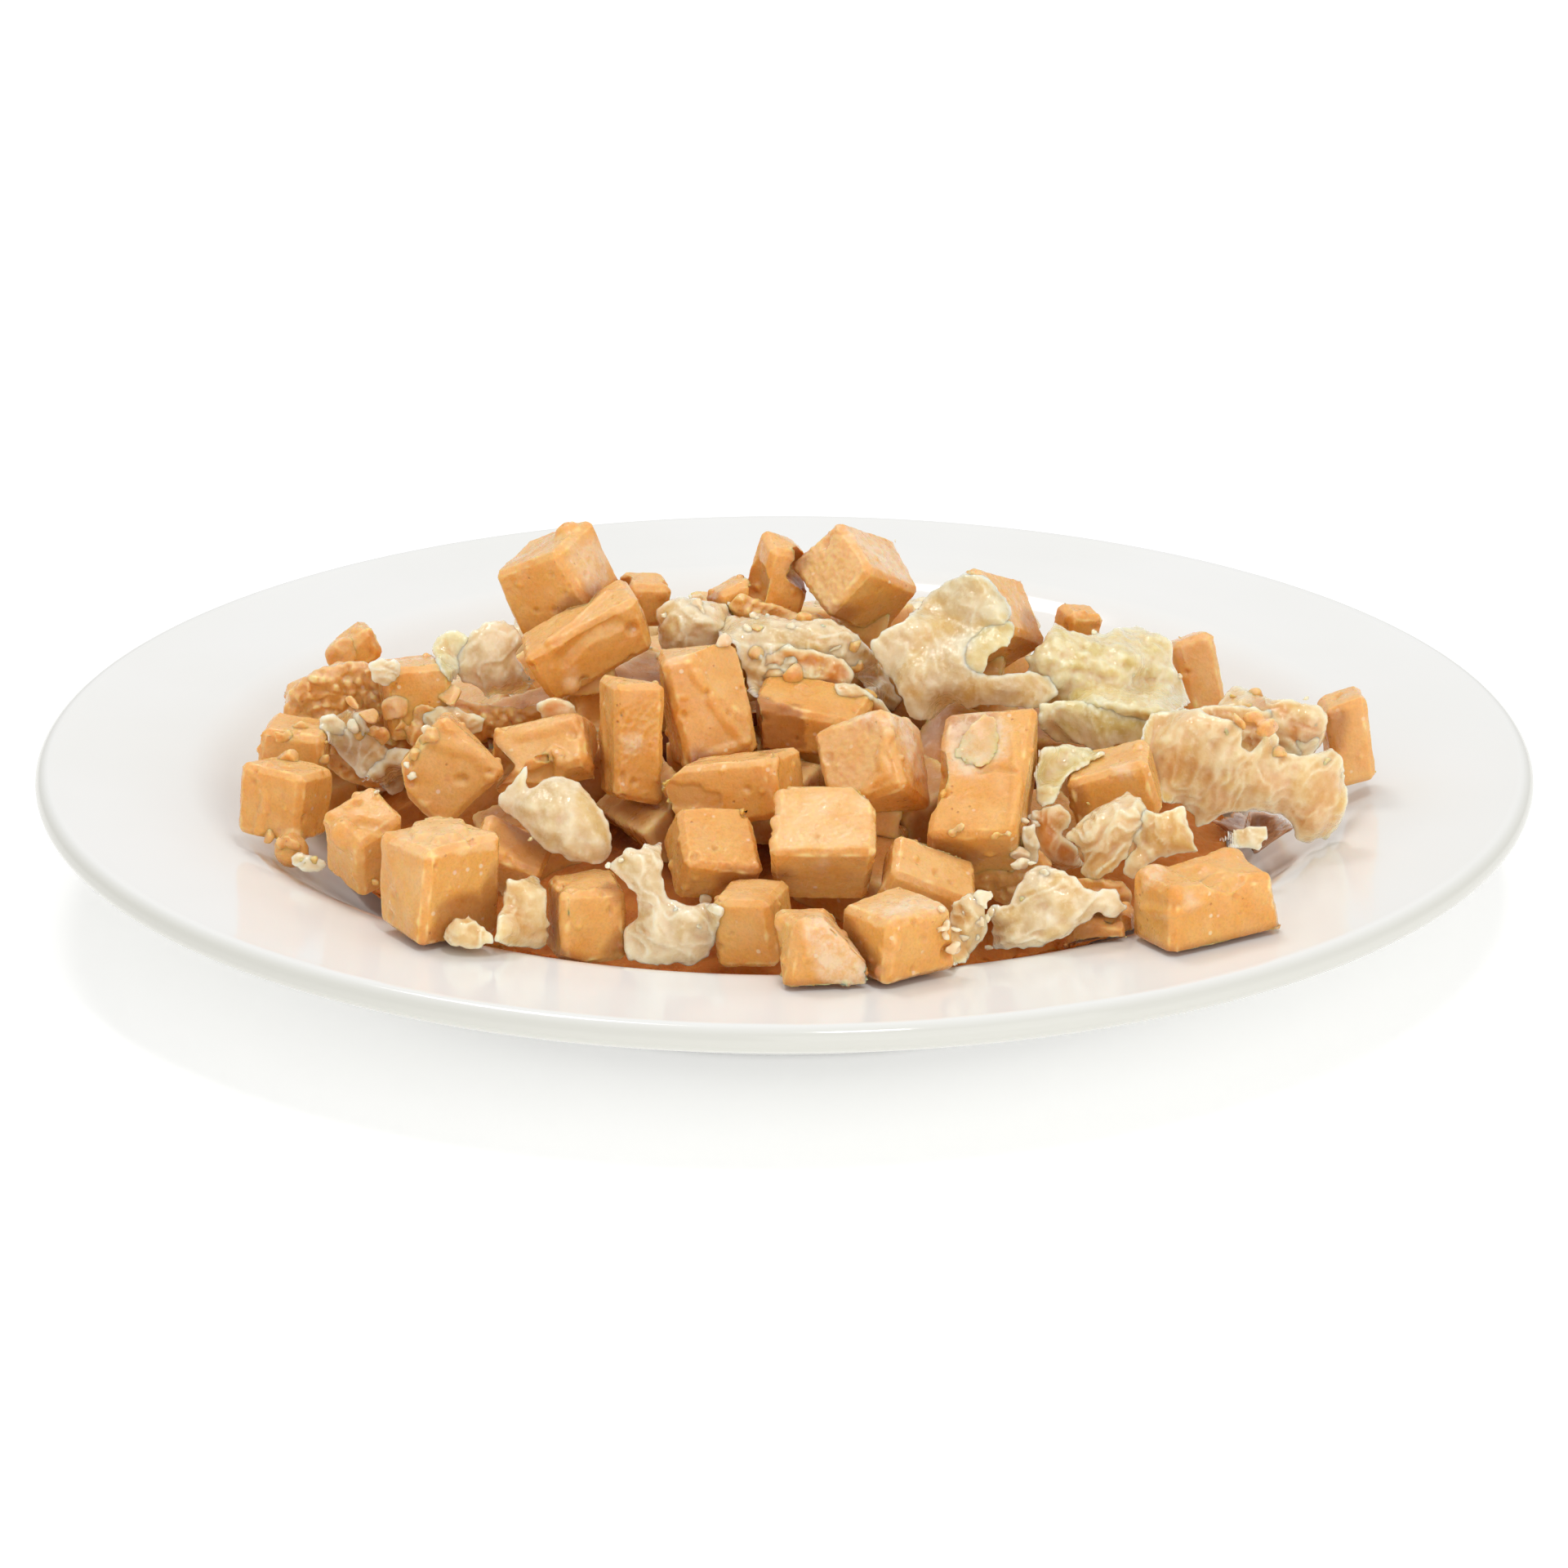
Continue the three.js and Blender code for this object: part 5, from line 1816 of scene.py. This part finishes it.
def hiddenInFront(trees, corners):
    # true where something of the dish stands before every corner, and before the middle of each side
    middle = corners.mean(0)
    wider = middle + (corners - middle) * supportShape["margin"]
    sides = [(wider[a] + wider[b]) / 2 for a in range(8) for b in range(a)]
    for corner in np.concatenate([wider, sides]) * mm:
        way = corner - eye
        far = np.linalg.norm(way)
        hits = (tree.ray_cast(camera.location, Vector(way / far)) for tree in trees)
        if not any(hit[0] is not None and hit[3] < far - 0.2 * mm for hit in hits):
            return False
    return True


def supportSpots(trees, shape):
    chance = random.Random(11)
    solids = pileOf("salmon_", "flake_")
    found = []
    for _ in range(shape["tries"]):
        x, y, z = (chance.uniform(a, b) for a, b in zip(shape["low"], shape["high"]))
        size = chance.uniform(*shape["size"])
        half = size * 0.5
        if z - half < plateUnder(x, y) + 0.2:
            continue
        spot = Vector((x * mm, y * mm, z * mm))
        if any((spot - other).length < shape["apart"] * size * mm for other, wide in found):
            continue
        near, normal, face, far = solids.find_nearest(spot)
        if far < shape["clear"] * mm or (spot - near).dot(normal) < 0:
            continue
        over = solids.ray_cast(spot, Vector((0, 0, 1)))[3]
        covered = over is not None and over < shape["reach"] * mm
        slope = shape["ridgeHeight"] - shape["backSlope"] * max(y - shape["ridgeY"], 0)
        if not covered and (z + half > slope or math.hypot(x, y - heapShape["centreY"]) > shape["heapRadius"]):
            continue
        middle = np.array((x, y, z))
        if hiddenInFront(trees, boxCorners(middle - half, middle + half)):
            found.append((spot, size))
    return found


def supports(shape):
    view = bpy.context.evaluated_depsgraph_get()
    kinds = ("dice_", "fish_", "broken_", "heapDice")
    trees = [BVHTree.FromObject(p, view) for p in bpy.data.objects if p.name.startswith(kinds)]
    chance = random.Random(12)
    boxes = []

    def addDice(middle, half, tip):
        turned = Matrix.Rotation(chance.uniform(-tip, tip), 3, "X") @ Matrix.Rotation(chance.uniform(0, 1.57), 3, "Z")
        turned = np.array(turned @ Matrix.Rotation(chance.uniform(-tip, tip), 3, "Y"))
        sides = np.array([half * chance.uniform(0.82, 1.0) for _ in range(3)])
        boxes.append((middle + boxCorners(-sides, sides) @ turned.T) * mm)

    def addStack(x, y, z, share):
        # true when nothing is to be held up there, or a stack fits unseen
        foot = plateUnder(x * 1.06, y * 1.06) + 0.3
        wide, storey = shape["post"] / 2 * share, shape["storey"] * share
        if z - foot < 3:
            return True
        if not hiddenInFront(trees, boxCorners((x - wide, y - wide, foot), (x + wide, y + wide, z))):
            return False
        count = math.ceil((z - foot) / storey)
        for n in range(count):
            aside, back = chance.uniform(-1, 1) * share, chance.uniform(0, 2) * share
            middle = np.array((x + aside, y + back, foot + (n + 0.5) * (z - foot) / count))
            addDice(middle, storey * 0.55, shape["tipStacked"])
        return True

    found = [(np.array(spot) / mm, size) for spot, size in supportSpots(trees, shape)]
    for spot, size in found:
        addDice(spot, size * 0.5, shape["tipLoose"])
    centres = [spot for spot, size in found]
    centres += [pointsOf(node).mean(0) / mm for name, node in frame["nodes"].items() if name.startswith("salmon_")]
    # a slimmer stack, further back or lower, under what still stands free
    for x, y, z in [spot for spot in centres if not addStack(*spot, 1.0)]:
        any(addStack(x, y + back, z - low, shape["slim"]) for back, low in shape["slimPlaces"])
    print(len(found), "loose dice and", len(boxes) - len(found), "stacked dice under the ridge")
    mesh = bpy.data.meshes.new("heapDiceUnder")
    faces = [[8 * n + corner for corner in face] for n in range(len(boxes)) for face in boxFaces]
    mesh.from_pydata([tuple(corner) for box in boxes for corner in box], [], faces)
    dice = placed(mesh, "heapDiceUnder")
    rebuilt(dice, shape["voxel"], 2)
    waved(dice, diceShape["swell"])
    looseDice(dice, 0.15, 0.6)


supports(supportShape)
print("ridge held up")

# floor and light
stageLook = {
    "floor": (250, 250, 249),
    "floorPatches": (249, 249, 248),
    "glow": 0.2,
    "sky": 0.68,
    # each light's place, size and power
    "keyLight": ((-0.25, 0.35, 0.95), 0.24, 1.8),
    "sparkLight": ((0.15, -0.45, 1.05), 0.15, 2.2),
    "frontLight": ((0.5, -1.2, 0.45), 1.2, 4.6),
}


def setStage(look):
    bpy.ops.mesh.primitive_plane_add(size=12, location=(0, 0, -0.0002))
    floor = bpy.context.object
    floor.name = "studioFloor"
    f = Finish("studioFloor")
    f.show(
        {
            "Base Color": f.mix(f.noise(80), look["floor"], look["floorPatches"]),
            "Roughness": 0.9,
            "Specular IOR Level": 0.1,
            "Emission Color": (255, 255, 255),
            "Emission Strength": look["glow"],
        }
    )
    floor.data.materials.append(f.material)
    world = bpy.data.worlds.new("studioSky")
    bpy.context.scene.world = world
    world.use_nodes = True
    sky = world.node_tree.nodes["Background"].inputs
    sky["Color"].default_value = (1, 1, 1, 1)
    sky["Strength"].default_value = look["sky"]
    for name in ("keyLight", "sparkLight", "frontLight"):
        spot, size, power = look[name]
        bpy.ops.object.light_add(type="AREA", location=spot)
        light = bpy.context.object
        light.name = name
        light.data.size = size
        light.data.energy = power
        light.rotation_euler = Vector(spot).to_track_quat("Z", "Y").to_euler()


setStage(stageLook)
print("stage set")
